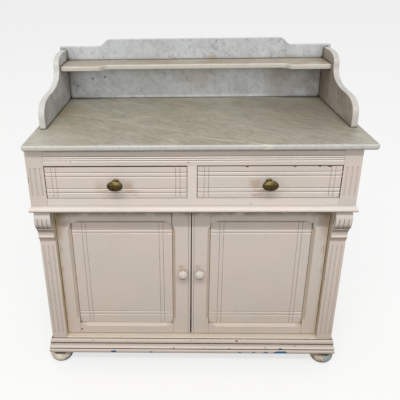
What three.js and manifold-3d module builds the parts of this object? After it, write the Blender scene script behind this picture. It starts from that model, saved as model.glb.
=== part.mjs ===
// Painted pine washstand with a marble top, of about 1900: two drawers over two doors.
// Millimetres, +Z up, the front faces -Y. The pieces are laid out from the middle of the
// carcass (X = 0), its front face (Y = 0, +Y goes to the wall) and the floor (Z = 0). The
// finished group is moved so that its origin is the bottom centre of the whole object.

import * as THREE from 'three';
import { mergeVertices } from 'three/addons/utils/BufferGeometryUtils.js';
import Module from 'manifold-3d';

const wasm = await Module();
wasm.setup();

// Fits
const FIT = 0.3; // between pieces that are glued, pinned or bedded on each other
const DRAWER_GAP = 1; // beside and above a drawer front
const DOOR_GAP_SIDE = 1; // between a door and its pilaster
const DOOR_GAP_END = 2; // above and below a door
const DOOR_GAP_MIDDLE = 2.8; // between the two doors

// Carcass
const CARCASS_WIDTH = 964;
const CARCASS_DEPTH = 532;
const SIDE_THICKNESS = 20;
const BACK_THICKNESS = 8;
const BACK_HOUSING = 10; // the back panel is let this far into each side panel

// Base
const FOOT_HEIGHT = 61;
const FOOT_RADIUS = 40;
const FOOT_SOLE_RADIUS = 14;
const FOOT_SWELL_END = Math.PI * 0.4; // angle above the bun's widest line where its neck starts
const FOOT_NECK_RADIUS = 24;
const FOOT_NECK_HEIGHT = 9;
const FOOT_FLARE = 4; // the neck widens by this much under the board
const FOOT_INSET = 17; // from the side of the carcass to the middle of a foot
const FOOT_SETBACK_FRONT = 70; // from the front of the carcass
const FOOT_SETBACK_BACK = 50; // from the back of the carcass
const SPIGOT_RADIUS = 10;
const SPIGOT_DEPTH = 12; // into the bottom board
const PLINTH_HEIGHT = 56;
const PLINTH_PROJECTION = 14; // past the pilasters
const PLINTH_BACKING = 5; // thickness of the plinth behind the pilaster's face
const PLINTH_TOP_FLAT = 1; // narrow ledge in front of the bottom board
const PLINTH_BEAD_HEIGHT = 22;
const PLINTH_BEAD_DEPTH = 6;
const PLINTH_QUIRK = 2.4; // width of the two sunk lines between the bands
const PLINTH_QUIRK_DEPTH = 2; // of the lower line, behind the root of the bead
const PLINTH_UPPER_QUIRK_INSET = 9.3; // from the plinth's front to the foot of the upper line
const PLINTH_BAND_INSET = 1; // from the plinth's front to the middle band's lower edge
const PLINTH_MIDDLE_BAND = 18;
const PLINTH_BAND_BELLY = 12.6; // height in the band up to which it stays full
const PLINTH_BAND_LEAN = 5; // the middle band's upper edge lies behind its lower one
const PLINTH_CAP_INSET = 7; // from the plinth's front to the upper band's lower edge
const PLINTH_CAP_HOLLOW = 6; // height up to which the upper band stays upright
const BOTTOM_BOARD_THICKNESS = 20;
const BOARD_LIP = 3; // edge of the bottom board that shows above the plinth

// Cupboard
const CUPBOARD_HEIGHT = 504;
const PILASTER_WIDTH = 50;
const PILASTER_DEPTH = 44;
const PILASTER_SETBACK = 33; // behind the front of the drawer case
const PILASTER_INSET = 1.5; // from the side of the carcass
const WAIST_THICKNESS = 21;
const WAIST_PROJECTION = 8;
const WAIST_NOSE_HEIGHT = 13;
const WAIST_NOSE_DEPTH = 5.5;
const WAIST_NOSE_END = Math.PI / 3; // the nose's round ends at this angle above its front
const WAIST_FILLET = 1; // the hollow over the nose stops this far in front of the drawer case

// Corbel, with setbacks measured from the front of the drawer case
const CORBEL_HEIGHT = 119;
const CORBEL_SETBACK = 1.5; // of the roll's belly
const ROLL_HEIGHT = 66;
const ROLL_BELLY_DROP = 30; // from the roll's top to its belly
const ROLL_TOP_SETBACK = 12.5;
const ROLL_BROW = 12; // height above the belly up to which the roll stays upright
const ROLL_FOOT_SETBACK = 15.5;
const ROLL_TUCK = 10; // height above its foot where the roll turns upright
const CORBEL_FILLET = 4;
const FILLET_SETBACK = 16.5;
const COVE_HEIGHT = 24;
const COVE_SETBACK = 27.5;
const CORBEL_TORUS_HEIGHT = 10;
const CORBEL_TORUS_SETBACK = 21.5;
const SCROLL_HOLLOW_HEIGHT = 58; // the gap between the roll and the pilaster
const SCROLL_HOLLOW_DEPTH = 17;
const SCROLL_HOLLOW_RADIUS = 31; // half the height of the ellipse that the gap is part of
const ROLL_GROOVES = 3;
const ROLL_GROOVE_WIDTH = 3.2;
const ROLL_GROOVE_DEPTH = 1.8;
const ROLL_GROOVE_SPACING = 14;
const ROLL_GROOVE_START = 1; // above the roll's foot
const ROLL_GROOVE_FADE = 6; // height above the belly where a groove starts to run out

// Flutes
const FLUTES = 3;
const FLUTE_RADIUS = 5;
const FLUTE_DEPTH = 2.2;
const FLUTE_SPACING = 14.8;
const PILASTER_FLUTE_START = 15; // above the bottom board and below the corbel
const BLOCK_FLUTE_START = 5; // inside the line of the drawer's top and bottom edges

// Drawer case
const LOWER_RAIL_HEIGHT = 24.5;
const DRAWER_OPENING_HEIGHT = 103.5;
const FRIEZE_HEIGHT = 51;
const RAIL_DEPTH = 22;
const CORNER_BLOCK_WIDTH = 51;
const CORNER_BLOCK_DEPTH = 44;
const DIVIDER_WIDTH = 28;
const FRIEZE_LINES = 3;
const FRIEZE_LINE_SPACING = 6.4;
const FRIEZE_FIRST_LINE = 22.8; // below the marble
const RUNNER_HEIGHT = 20;
const RUNNER_REACH = 14; // under the drawer's side and past it
const GUIDE_RISE = 20; // above the runner
const GUIDE_GAP = 1.2; // between a guide and a drawer's side

// Cut lines
const LINE_WIDTH = 3;
const LINE_DEPTH = 1.9; // lines that run sideways
const UPRIGHT_LINE_DEPTH = 1.6; // lines that run up and down
const LINE_SPACING = 12.8; // between the two lines of a pair

// Drawer
const DRAWER_FRONT_THICKNESS = 20;
const DRAWER_BOX_DEPTH = 440; // sides, behind the front
const DRAWER_SIDE_THICKNESS = 12;
const DRAWER_SIDE_HEIGHT = 95;
const DRAWER_SIDE_INSET = 1; // sides inside the ends of the front
const DRAWER_BOTTOM_THICKNESS = 6;
const DRAWER_BOTTOM_RISE = 8;
const DRAWER_BOTTOM_HOUSING = 5; // depth of the groove that holds the bottom
const DRAWER_BACK_DROP = 5; // back below the top of the sides
const DRAWER_LINE_INSET = 20;

// Drawer knob
const OVAL_WIDTH = 46;
const OVAL_HEIGHT = 31;
const OVAL_THICKNESS = 13;
const DRAWER_KNOB_REACH = 36;
const ROSE_RADIUS = 10.5;
const ROSE_EDGE = 1.6; // upright edge of the rose
const ROSE_THICKNESS = 4;
const ROSE_CROWN_RADIUS = 8.4;
const STEM_RADIUS = 5.2;
const STEM_FLARE = 1; // the stem's foot is wider by this much
const STEM_FLARE_HEIGHT = 4;
const STUD_RADIUS = 2.5;
const STUD_LENGTH = 14;

// Door
const DOOR_THICKNESS = 22;
const DOOR_RECESS = 21; // behind the face of the pilasters
const HINGE_STILE = 49;
const MEETING_STILE = 59;
const TOP_RAIL = 65;
const BOTTOM_RAIL = 38;
const TENON_LENGTH = 9;
const PANEL_THICKNESS = 8;
const PANEL_RECESS = 9;
const PANEL_PLAY = 1; // between the panel's edge and the foot of its groove
const CHAMFER = 9;
const CHAMFER_STOP = 13; // plain stretch between a corner and the chamfer
const CHAMFER_TONGUE = 15; // run of the curved end of a chamfer
const PANEL_LINE_SIDE = 30;
const PANEL_LINE_TOP = 22;
const PANEL_LINE_BOTTOM = 42;
const MEETING_BEAD = 7.5; // bead along the meeting edge
const PIN_RADIUS = 3;
const PIN_SETBACK = 9; // from the door's outer edge and from its face
const PIN_GRIP = 14; // length in the door
const PIN_SEAT = 10; // length in the carcass
const PIN_BORE_PLAY = 0.4;
const STOP_HEIGHT = 12;
const STOP_DEPTH = 14;
const STOP_WIDTH = 80;

// Door knob
const DOOR_KNOB_RADIUS = 14;
const DOOR_KNOB_REACH = 31;
const DOOR_KNOB_FOOT_RADIUS = 9;
const DOOR_KNOB_FOOT = 2.5; // thickness of the foot
const DOOR_KNOB_NECK_RADIUS = 6.5;
const DOOR_KNOB_NECK_START = 5; // these reaches are measured from the door's face
const DOOR_KNOB_NECK_END = 8;
const DOOR_KNOB_RIM = 18; // where the knob is widest
const DOOR_KNOB_FACE = 25; // where its round face turns into the point
const DOOR_KNOB_POINT_RADIUS = 3;
const DOOR_KNOB_TIP_RADIUS = 1.5;
const DOOR_KNOB_INSET = 25.7; // from the door's meeting edge
const DOOR_KNOB_HEIGHT = 256; // above the bottom board
const DOOR_KNOB_TENON_RADIUS = 5;
const DOOR_KNOB_TENON = 12;

// Marble
const SLAB_THICKNESS = 18;
const SLAB_OVERHANG_SIDE = 18; // at each end, if the slab lay in the middle
const SLAB_OVERHANG_FRONT = 21;
const SLAB_OVERHANG_BACK = 8;
const SLAB_NOSE = 6; // rounding of the upper edge
const SLAB_ARRIS = 2.5; // rounding of the lower edge
const MARBLE_SHIFT = 17; // all the marble sits this far to the right on the carcass
const SPLASH_THICKNESS = 19;
const SPLASH_INSET = 10; // from the end of the slab
const SPLASH_SHOULDER = 190;
const SPLASH_RISE = 24;
const SPLASH_CREST = 610;
const SPLASH_OGEE = 46; // run of the curve between shoulder and crest
const SIDE_SLAB_THICKNESS = 19;
const SIDE_SLAB_INSET = 6; // from the end of the splashback
const SIDE_SLAB_SETBACK = 154; // from the front edge of the slab
const SIDE_SLAB_HEIGHT = 181;
const SIDE_NOSE_RISE = 34; // straight front edge
const SIDE_LOW_RUN = 96; // from the front edge to the end of the low curve
const SIDE_LOW_HEIGHT = 85;
const SIDE_STEP_RUN = 244; // from the front edge to the foot of the upper curve
const SIDE_STEP_HEIGHT = 140;
const SIDE_TOP_RUN = 328; // from the front edge to the level top
const CURVE_UPRIGHT_PULL = 0.76; // share of a curve's rise in which it stays near upright
const CURVE_LEVEL_PULL = 0.55; // share of a curve's run in which it stays near level
const MARBLE_SHELF_TOP = 142; // above the slab
const MARBLE_SHELF_THICKNESS = 17;
const MARBLE_SHELF_DEPTH = 124; // at its ends
const MARBLE_SHELF_RECESS = 26; // the middle stands back
const MARBLE_SHELF_MIDDLE = 606; // width of the middle part
const MARBLE_SHELF_OGEE = 34;
const MARBLE_SHELF_HOUSING = 5; // let into each side slab

// Fineness of curves, and how cutters and welds are made
const CURVE_STEPS = 8;
const SHORT_CURVE_STEPS = 4;
const FLUTE_SIDES = 16;
const TURNED_SIDES = 24;
const SMALL_TURNED_SIDES = 20;
const OVERCUT = 1; // a cutter stands this far out of what it cuts
const WELD_DISTANCE = 1e-4; // corners closer than this are one corner

// Levels and places that follow from the sizes
const halfWidth = CARCASS_WIDTH / 2;
const plinthBottom = FOOT_HEIGHT;
const plinthTop = plinthBottom + PLINTH_HEIGHT;
const boardTop = plinthTop + BOARD_LIP;
const boardBottom = boardTop - BOTTOM_BOARD_THICKNESS;
const waistBottom = boardTop + CUPBOARD_HEIGHT;
const waistTop = waistBottom + WAIST_THICKNESS;
const drawerBottom = waistTop + LOWER_RAIL_HEIGHT;
const drawerTop = drawerBottom + DRAWER_OPENING_HEIGHT;
const caseTop = drawerTop + FRIEZE_HEIGHT;
const slabTop = caseTop + SLAB_THICKNESS;
const pilasterBack = PILASTER_SETBACK + PILASTER_DEPTH;
const pilasterOuter = halfWidth - PILASTER_INSET;
const pilasterInner = pilasterOuter - PILASTER_WIDTH;
const sideInner = halfWidth - SIDE_THICKNESS;
const openingOuter = halfWidth - CORNER_BLOCK_WIDTH;
const openingInner = DIVIDER_WIDTH / 2;
const backFront = CARCASS_DEPTH - BACK_THICKNESS;
const doorFace = PILASTER_SETBACK + DOOR_RECESS;
const doorBack = doorFace + DOOR_THICKNESS;
const slabFront = -SLAB_OVERHANG_FRONT;
const slabBack = CARCASS_DEPTH + SLAB_OVERHANG_BACK;
const splashFace = slabBack - SPLASH_THICKNESS;
const marbleHalf = halfWidth + SLAB_OVERHANG_SIDE;
const shelfTop = slabTop + MARBLE_SHELF_TOP;
const shelfBottom = shelfTop - MARBLE_SHELF_THICKNESS;
const splashHalf = marbleHalf - SPLASH_INSET;
const sideSlabOuter = splashHalf - SIDE_SLAB_INSET;
const sideSlabInner = sideSlabOuter - SIDE_SLAB_THICKNESS;
const sides = [['left', -1], ['right', 1]];

// Materials
const finish = (name, color, roughness, metalness = 0) =>
  Object.assign(new THREE.MeshStandardMaterial({ color, roughness, metalness }), { name });
const marble = finish('marble', 0xc3c6c3, 0.4);
const cream = finish('cream_paint', 0xd9cabb, 0.55);
const pine = finish('bare_pine', 0xb98f5e, 0.75);
const brass = finish('aged_brass', 0x7d6a38, 0.38, 0.9);
const steel = finish('steel', 0x6d6a66, 0.5, 0.8);

// A closed geometry as a solid that can be joined and cut
function solidOf(geometry) {
  const bare = geometry.clone();
  bare.deleteAttribute('normal');
  bare.deleteAttribute('uv');
  const welded = mergeVertices(bare, WELD_DISTANCE);
  const corners = [];
  for (let i = 0; i < welded.index.count; i += 3) {
    const [a, b, c] = [0, 1, 2].map((k) => welded.index.getX(i + k));
    if (a !== b && b !== c && c !== a) corners.push(a, b, c);
  }
  return new wasm.Manifold(new wasm.Mesh({
    numProp: 3,
    vertProperties: new Float32Array(welded.attributes.position.array),
    triVerts: new Uint32Array(corners),
  }));
}

// A solid as a geometry with flat faces
function geometryOf(solid) {
  const mesh = solid.getMesh();
  const geometry = new THREE.BufferGeometry();
  geometry.setAttribute('position', new THREE.BufferAttribute(new Float32Array(mesh.vertProperties), 3));
  geometry.setIndex(new THREE.BufferAttribute(new Uint32Array(mesh.triVerts), 1));
  return geometry;
}

const subtractAll = (solid, cutters) => cutters.reduce((rest, cutter) => rest.subtract(cutter), solid);
const sorted = (a, b) => [Math.min(a, b), Math.max(a, b)];

// The stretch between two distances from the middle, on one side of it
const onSide = (side, near, far) => sorted(side * near, side * far);

function box([x0, x1], [y0, y1], [z0, z1]) {
  const geometry = new THREE.BoxGeometry(x1 - x0, y1 - y0, z1 - z0);
  geometry.translate((x0 + x1) / 2, (y0 + y1) / 2, (z0 + z1) / 2);
  return solidOf(geometry);
}

const shapeFrom = (points) => new THREE.Shape(points.map(([a, b]) => new THREE.Vector2(a, b)));
const extrude = (shape, depth) =>
  new THREE.ExtrudeGeometry(shape, { depth, bevelEnabled: false, curveSegments: CURVE_STEPS });

// A (y, z) outline drawn out along X
function sweepX(shape, [x0, x1]) {
  const geometry = extrude(shape, x1 - x0);
  const axes = [new THREE.Vector3(0, 1, 0), new THREE.Vector3(0, 0, 1), new THREE.Vector3(1, 0, 0)];
  geometry.applyMatrix4(new THREE.Matrix4().makeBasis(...axes));
  geometry.translate(x0, 0, 0);
  return solidOf(geometry);
}

// An (x, z) outline drawn out along Y
function sweepY(shape, [y0, y1]) {
  const geometry = extrude(shape, y1 - y0);
  geometry.rotateX(Math.PI / 2);
  geometry.translate(0, y1, 0);
  return solidOf(geometry);
}

// An (x, y) outline drawn out along Z
function sweepZ(shape, [z0, z1]) {
  const geometry = extrude(shape, z1 - z0);
  geometry.translate(0, 0, z0);
  return solidOf(geometry);
}

// A profile is a list of [inset, z] points that climbs from the lower to the upper face.
// The board has it along its front and both ends, with mitred corners, and a square back.
function mouldedBoard([x0, x1], [y0, y1], profile) {
  const front = profile.map(([inset, z]) => [y0 + inset, z]);
  const bottom = front[0][1];
  const top = front[front.length - 1][1];
  const alongFront = sweepX(shapeFrom([[y1, bottom], ...front, [y1, top]]), [x0, x1]);
  const left = profile.map(([inset, z]) => [x0 + inset, z]);
  const right = profile.map(([inset, z]) => [x1 - inset, z]).reverse();
  return alongFront.intersect(sweepY(shapeFrom([...left, ...right]), [y0, y1]));
}

// Points on a quarter of an ellipse, or on another part of it, in (inset, z)
function arc(centre, radii, from, to, steps = CURVE_STEPS) {
  return Array.from({ length: steps + 1 }, (_, i) => {
    const angle = from + ((to - from) * i) / steps;
    return [centre[0] - radii[0] * Math.cos(angle), centre[1] + radii[1] * Math.sin(angle)];
  });
}

// Points on one bend from a start to an end, drawn towards a control point
function bow(start, control, end, steps = SHORT_CURVE_STEPS) {
  const [a, b, c] = [start, control, end].map(([x, z]) => new THREE.Vector2(x, z));
  return new THREE.QuadraticBezierCurve(a, b, c).getPoints(steps).map((point) => [point.x, point.y]);
}

// Places of equally spaced copies about a middle
const spread = (middle, count, spacing) =>
  Array.from({ length: count }, (_, i) => middle + (i - (count - 1) / 2) * spacing);

// A round-ended flute along Z, sunk into a face that looks to -Y
function flute(x, face, [z0, z1]) {
  const straight = z1 - z0 - 2 * FLUTE_RADIUS;
  const geometry = new THREE.CapsuleGeometry(FLUTE_RADIUS, straight, SHORT_CURVE_STEPS, FLUTE_SIDES, 1);
  geometry.rotateX(Math.PI / 2);
  geometry.translate(x, face - FLUTE_RADIUS + FLUTE_DEPTH, (z0 + z1) / 2);
  return solidOf(geometry);
}

const flutes = (middle, face, span) =>
  spread(middle, FLUTES, FLUTE_SPACING).map((x) => flute(x, face, span));

// Cut lines with a V section, sunk into a face that looks to -Y. The cutter stands as far in
// front of the face as it reaches behind it, so it is twice as wide there as the line.
function lineAcross(span, face, z) {
  const [front, back] = [face - LINE_DEPTH, face + LINE_DEPTH];
  return sweepX(shapeFrom([[front, z - LINE_WIDTH], [back, z], [front, z + LINE_WIDTH]]), span);
}

function lineUp(x, face, span) {
  const [front, back] = [face - UPRIGHT_LINE_DEPTH, face + UPRIGHT_LINE_DEPTH];
  return sweepZ(shapeFrom([[x - LINE_WIDTH, front], [x, back], [x + LINE_WIDTH, front]]), span);
}

const pair = (first, step) => [first, first + step];

// Two lines near each end of a stretch
const linePairs = ([from, to], insetFrom, insetTo) =>
  [...pair(from + insetFrom, LINE_SPACING), ...pair(to - insetTo, -LINE_SPACING)];

// What is drawn along Z, laid over so that its top faces the front
const facingFront = (solid, x, face, z) => solid.rotate([90, 0, 0]).translate([x, face, z]);

// Marble
function marbleTop() {
  const arrisCentre = [SLAB_ARRIS, caseTop + SLAB_ARRIS];
  const noseCentre = [SLAB_NOSE, slabTop - SLAB_NOSE];
  const profile = [
    ...arc(arrisCentre, [SLAB_ARRIS, SLAB_ARRIS], -Math.PI / 2, 0, SHORT_CURVE_STEPS),
    ...arc(noseCentre, [SLAB_NOSE, SLAB_NOSE], 0, Math.PI / 2),
  ];
  return mouldedBoard([-marbleHalf, marbleHalf], [slabFront, slabBack], profile);
}

function splashback() {
  const bottom = slabTop + FIT;
  const shoulder = slabTop + SPLASH_SHOULDER;
  const crest = shoulder + SPLASH_RISE;
  const flat = SPLASH_CREST / 2;
  const bend = flat + SPLASH_OGEE / 2;
  const foot = flat + SPLASH_OGEE;
  const middle = (shoulder + crest) / 2;
  const shape = new THREE.Shape();
  shape.moveTo(-splashHalf, bottom);
  shape.lineTo(splashHalf, bottom);
  shape.lineTo(splashHalf, shoulder);
  shape.lineTo(foot, shoulder);
  shape.quadraticCurveTo(bend, shoulder, bend, middle);
  shape.quadraticCurveTo(bend, crest, flat, crest);
  shape.lineTo(-flat, crest);
  shape.quadraticCurveTo(-bend, crest, -bend, middle);
  shape.quadraticCurveTo(-bend, shoulder, -foot, shoulder);
  shape.lineTo(-splashHalf, shoulder);
  return sweepY(shape, [splashFace, slabBack]);
}

// The shelf's plan, or the plan of the stopped grooves that hold its ends
function shelfPlan(half, play) {
  const back = splashFace - FIT + play;
  const front = splashFace - MARBLE_SHELF_DEPTH - play;
  const middle = front + MARBLE_SHELF_RECESS;
  const flat = MARBLE_SHELF_MIDDLE / 2;
  const bend = flat + MARBLE_SHELF_OGEE / 2;
  const foot = flat + MARBLE_SHELF_OGEE;
  const mid = (front + middle) / 2;
  const shape = new THREE.Shape();
  shape.moveTo(half, back);
  shape.lineTo(-half, back);
  shape.lineTo(-half, front);
  shape.lineTo(-foot, front);
  shape.quadraticCurveTo(-bend, front, -bend, mid);
  shape.quadraticCurveTo(-bend, middle, -flat, middle);
  shape.lineTo(flat, middle);
  shape.quadraticCurveTo(bend, middle, bend, mid);
  shape.quadraticCurveTo(bend, front, foot, front);
  shape.lineTo(half, front);
  return shape;
}

const marbleShelf = () =>
  sweepZ(shelfPlan(sideSlabInner + MARBLE_SHELF_HOUSING - FIT, 0), [shelfBottom, shelfTop]);

// Draws a shape on, in a quarter turn from upright to level
function curveToLevel(shape, [y, z]) {
  const start = shape.currentPoint.clone();
  const first = [start.x, start.y + CURVE_UPRIGHT_PULL * (z - start.y)];
  shape.bezierCurveTo(...first, y - CURVE_LEVEL_PULL * (y - start.x), z, y, z);
}

// And in a quarter turn from level to upright
function curveToUpright(shape, [y, z]) {
  const start = shape.currentPoint.clone();
  const first = [start.x + CURVE_LEVEL_PULL * (y - start.x), start.y];
  shape.bezierCurveTo(...first, y, z - CURVE_UPRIGHT_PULL * (z - start.y), y, z);
}

function marbleSide(side) {
  const front = slabFront + SIDE_SLAB_SETBACK;
  const back = splashFace - FIT;
  const bottom = slabTop + FIT;
  const shape = new THREE.Shape();
  shape.moveTo(back, bottom);
  shape.lineTo(front, bottom);
  shape.lineTo(front, bottom + SIDE_NOSE_RISE);
  curveToLevel(shape, [front + SIDE_LOW_RUN, bottom + SIDE_LOW_HEIGHT]);
  curveToUpright(shape, [front + SIDE_STEP_RUN, bottom + SIDE_STEP_HEIGHT]);
  curveToLevel(shape, [front + SIDE_TOP_RUN, bottom + SIDE_SLAB_HEIGHT]);
  shape.lineTo(back, bottom + SIDE_SLAB_HEIGHT);
  const slab = sweepX(shape, onSide(side, sideSlabInner, sideSlabOuter));
  const housing = shelfPlan(sideSlabInner + MARBLE_SHELF_HOUSING, FIT);
  return slab.subtract(sweepZ(housing, [shelfBottom - FIT, shelfTop + FIT]));
}

// Carcass
function sidePanel(side) {
  const lower = pilasterBack + FIT;
  const upper = CORNER_BLOCK_DEPTH + FIT;
  const step = waistTop + FIT;
  const outline = [
    [CARCASS_DEPTH, boardTop + FIT], [lower, boardTop + FIT], [lower, step],
    [upper, step], [upper, caseTop - FIT], [CARCASS_DEPTH, caseTop - FIT],
  ];
  const panel = sweepX(shapeFrom(outline), onSide(side, sideInner, halfWidth));
  const rebate = onSide(side, sideInner - OVERCUT, sideInner + BACK_HOUSING);
  return panel.subtract(box(rebate, [backFront - FIT, CARCASS_DEPTH + OVERCUT], [boardTop, caseTop]));
}

function backPanel() {
  const half = sideInner + BACK_HOUSING - FIT;
  return box([-half, half], [backFront, CARCASS_DEPTH], [boardTop + FIT, caseTop - FIT]);
}

function cornerBlock(side) {
  const height = [waistTop + FIT, caseTop - FIT];
  const block = box(onSide(side, openingOuter, halfWidth), [0, CORNER_BLOCK_DEPTH], height);
  const span = [drawerBottom + BLOCK_FLUTE_START, drawerTop - BLOCK_FLUTE_START];
  return subtractAll(block, flutes(side * (halfWidth - CORNER_BLOCK_WIDTH / 2), 0, span));
}

function friezeRail() {
  const half = openingOuter - FIT;
  const rail = box([-half, half], [0, RAIL_DEPTH], [drawerTop, caseTop - FIT]);
  const lines = Array.from({ length: FRIEZE_LINES }, (_, i) =>
    lineAcross([-halfWidth, halfWidth], 0, caseTop - FRIEZE_FIRST_LINE - i * FRIEZE_LINE_SPACING));
  return subtractAll(rail, lines);
}

function lowerRail() {
  const half = openingOuter - FIT;
  return box([-half, half], [0, CORNER_BLOCK_DEPTH], [waistTop + FIT, drawerBottom]);
}

function drawerDivider() {
  const half = DIVIDER_WIDTH / 2;
  return box([-half, half], [0, RAIL_DEPTH], [drawerBottom + FIT, drawerTop - FIT]);
}

// Edge of the waist board: a round nose below, a hollow above that dies into the drawer case
function waistProfile(bottom, top) {
  const nose = [WAIST_NOSE_DEPTH, WAIST_NOSE_HEIGHT / 2];
  const points = arc([nose[0], bottom + nose[1]], nose, -Math.PI / 2, WAIST_NOSE_END);
  const end = points[points.length - 1];
  const fillet = WAIST_PROJECTION - WAIST_FILLET;
  const hollow = bow(end, [fillet, end[1]], [fillet, top]);
  return [...points, ...hollow.slice(1)];
}

function waistFront() {
  const half = halfWidth + WAIST_PROJECTION;
  const profile = waistProfile(waistBottom, waistTop);
  const board = mouldedBoard([-half, half], [-WAIST_PROJECTION, pilasterBack], profile);
  const bores = [-1, 1].map((side) => pinBore(side, [waistBottom - FIT, waistBottom + PIN_SEAT + FIT]));
  return subtractAll(board, bores);
}

function waistReturn(side) {
  const outer = halfWidth + WAIST_PROJECTION;
  const edge = waistProfile(waistBottom, waistTop).map(([inset, z]) => [side * (outer - inset), z]);
  const inner = side * (halfWidth + FIT);
  const shape = shapeFrom([[inner, waistBottom], ...edge, [inner, waistTop]]);
  return sweepY(shape, [pilasterBack + FIT, CARCASS_DEPTH]);
}

function pilaster(side) {
  const post = box(
    onSide(side, pilasterInner, pilasterOuter),
    [PILASTER_SETBACK, pilasterBack],
    [boardTop + FIT, waistBottom - FIT],
  );
  const span = [boardTop + PILASTER_FLUTE_START, waistBottom - CORBEL_HEIGHT - PILASTER_FLUTE_START];
  return subtractAll(post, flutes(side * (pilasterOuter - PILASTER_WIDTH / 2), PILASTER_SETBACK, span));
}

const corbelTop = waistBottom - FIT;
const rollBottom = corbelTop - ROLL_HEIGHT;
const rollBelly = corbelTop - ROLL_BELLY_DROP;

// The corbel's side view, from its foot up over torus, cove, fillet and roll. Behind the roll
// lies a half ellipse of air, open at its top.
function corbelShape() {
  const back = PILASTER_SETBACK - FIT;
  const coveTop = rollBottom - CORBEL_FILLET;
  const coveBottom = coveTop - COVE_HEIGHT;
  const torus = [COVE_SETBACK - CORBEL_TORUS_SETBACK, CORBEL_TORUS_HEIGHT / 2];
  const hollowMiddle = corbelTop - SCROLL_HOLLOW_HEIGHT + SCROLL_HOLLOW_RADIUS;
  const mouth = Math.asin((corbelTop - hollowMiddle) / SCROLL_HOLLOW_RADIUS);
  const [coveFoot, coveHead] = [[COVE_SETBACK, coveBottom], [FILLET_SETBACK, coveTop]];
  const belly = [CORBEL_SETBACK, rollBelly];
  const cheek = [CORBEL_SETBACK, rollBottom + ROLL_TUCK];
  const brow = [CORBEL_SETBACK, rollBelly + ROLL_BROW];
  return shapeFrom([
    [back, corbelTop - CORBEL_HEIGHT],
    ...arc([COVE_SETBACK, coveBottom - torus[1]], torus, -Math.PI / 2, Math.PI / 2),
    ...bow(coveFoot, [COVE_SETBACK, (coveTop + coveBottom) / 2], coveHead).slice(1),
    [FILLET_SETBACK, rollBottom],
    ...bow([ROLL_FOOT_SETBACK, rollBottom], cheek, belly),
    ...bow(belly, brow, [ROLL_TOP_SETBACK, corbelTop]).slice(1),
    ...arc([back, hollowMiddle], [SCROLL_HOLLOW_DEPTH, SCROLL_HOLLOW_RADIUS], mouth, -Math.PI / 2),
  ]);
}

function corbel(side) {
  const body = sweepX(corbelShape(), onSide(side, pilasterInner, pilasterOuter));
  const sunk = CORBEL_SETBACK + ROLL_GROOVE_DEPTH;
  const start = rollBottom + ROLL_GROOVE_START;
  const fade = rollBelly + ROLL_GROOVE_FADE;
  const front = CORBEL_SETBACK - OVERCUT;
  const groove = shapeFrom([
    [front, start],
    ...bow([ROLL_FOOT_SETBACK, start], [sunk, start + ROLL_TUCK], [sunk, rollBelly]),
    ...bow([sunk, rollBelly], [sunk, fade], [front, fade + ROLL_GROOVE_FADE]).slice(1),
  ]);
  const middle = side * (pilasterOuter - PILASTER_WIDTH / 2);
  const cutters = spread(middle, ROLL_GROOVES, ROLL_GROOVE_SPACING).map((x) =>
    sweepX(groove, [x - ROLL_GROOVE_WIDTH / 2, x + ROLL_GROOVE_WIDTH / 2]));
  return subtractAll(body, cutters);
}

// Base
const footRows = [['front', FOOT_SETBACK_FRONT], ['back', CARCASS_DEPTH - FOOT_SETBACK_BACK]];
const footCentres = footRows.flatMap(([row, y]) =>
  sides.map(([label, side]) => [`foot_${row}_${label}`, side, y]));
const footX = (side) => side * (halfWidth - FOOT_INSET);

function round(radius, sides, [z0, z1]) {
  const geometry = new THREE.CylinderGeometry(radius, radius, z1 - z0, sides);
  geometry.rotateX(Math.PI / 2);
  geometry.translate(0, 0, (z0 + z1) / 2);
  return geometry;
}

function bottomBoard() {
  const board = box(
    [-pilasterOuter, pilasterOuter], [PILASTER_SETBACK, CARCASS_DEPTH], [boardBottom, boardTop],
  );
  const sockets = footCentres.map(([, side, y]) => {
    const span = [boardBottom - FIT, boardBottom + SPIGOT_DEPTH + FIT];
    return solidOf(round(SPIGOT_RADIUS + FIT, TURNED_SIDES, span).translate(footX(side), y, 0));
  });
  const bores = [-1, 1].map((side) => pinBore(side, [boardTop - PIN_SEAT - FIT, boardTop + FIT]));
  return subtractAll(board, [...sockets, ...bores]);
}

// Face of the plinth: a bead below, then two bands that step back, with sunk lines between
function plinthProfile() {
  const bandStart = plinthBottom + PLINTH_BEAD_HEIGHT + PLINTH_QUIRK;
  const bandEnd = bandStart + PLINTH_MIDDLE_BAND;
  const capStart = bandEnd + PLINTH_QUIRK;
  const quirk = PLINTH_BEAD_DEPTH + PLINTH_QUIRK_DEPTH;
  const bead = [PLINTH_BEAD_DEPTH, PLINTH_BEAD_HEIGHT / 2];
  const bandTop = [PLINTH_BAND_INSET + PLINTH_BAND_LEAN, bandEnd];
  const capTop = [PLINTH_PROJECTION - PLINTH_TOP_FLAT, plinthTop];
  return [
    ...arc([bead[0], plinthBottom + bead[1]], bead, -Math.PI / 2, Math.PI / 2),
    [quirk, bandStart - PLINTH_QUIRK],
    [quirk, bandStart],
    ...bow([PLINTH_BAND_INSET, bandStart], [0, bandStart + PLINTH_BAND_BELLY], bandTop),
    [PLINTH_UPPER_QUIRK_INSET, bandEnd],
    [PLINTH_UPPER_QUIRK_INSET, capStart],
    ...bow([PLINTH_CAP_INSET, capStart], [PLINTH_CAP_INSET, capStart + PLINTH_CAP_HOLLOW], capTop),
  ];
}

const plinthDepth = PLINTH_PROJECTION + PLINTH_BACKING;
const plinthOuter = pilasterOuter + PLINTH_PROJECTION;
const plinthInner = plinthOuter - plinthDepth;
const plinthFront = PILASTER_SETBACK - PLINTH_PROJECTION;

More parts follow.
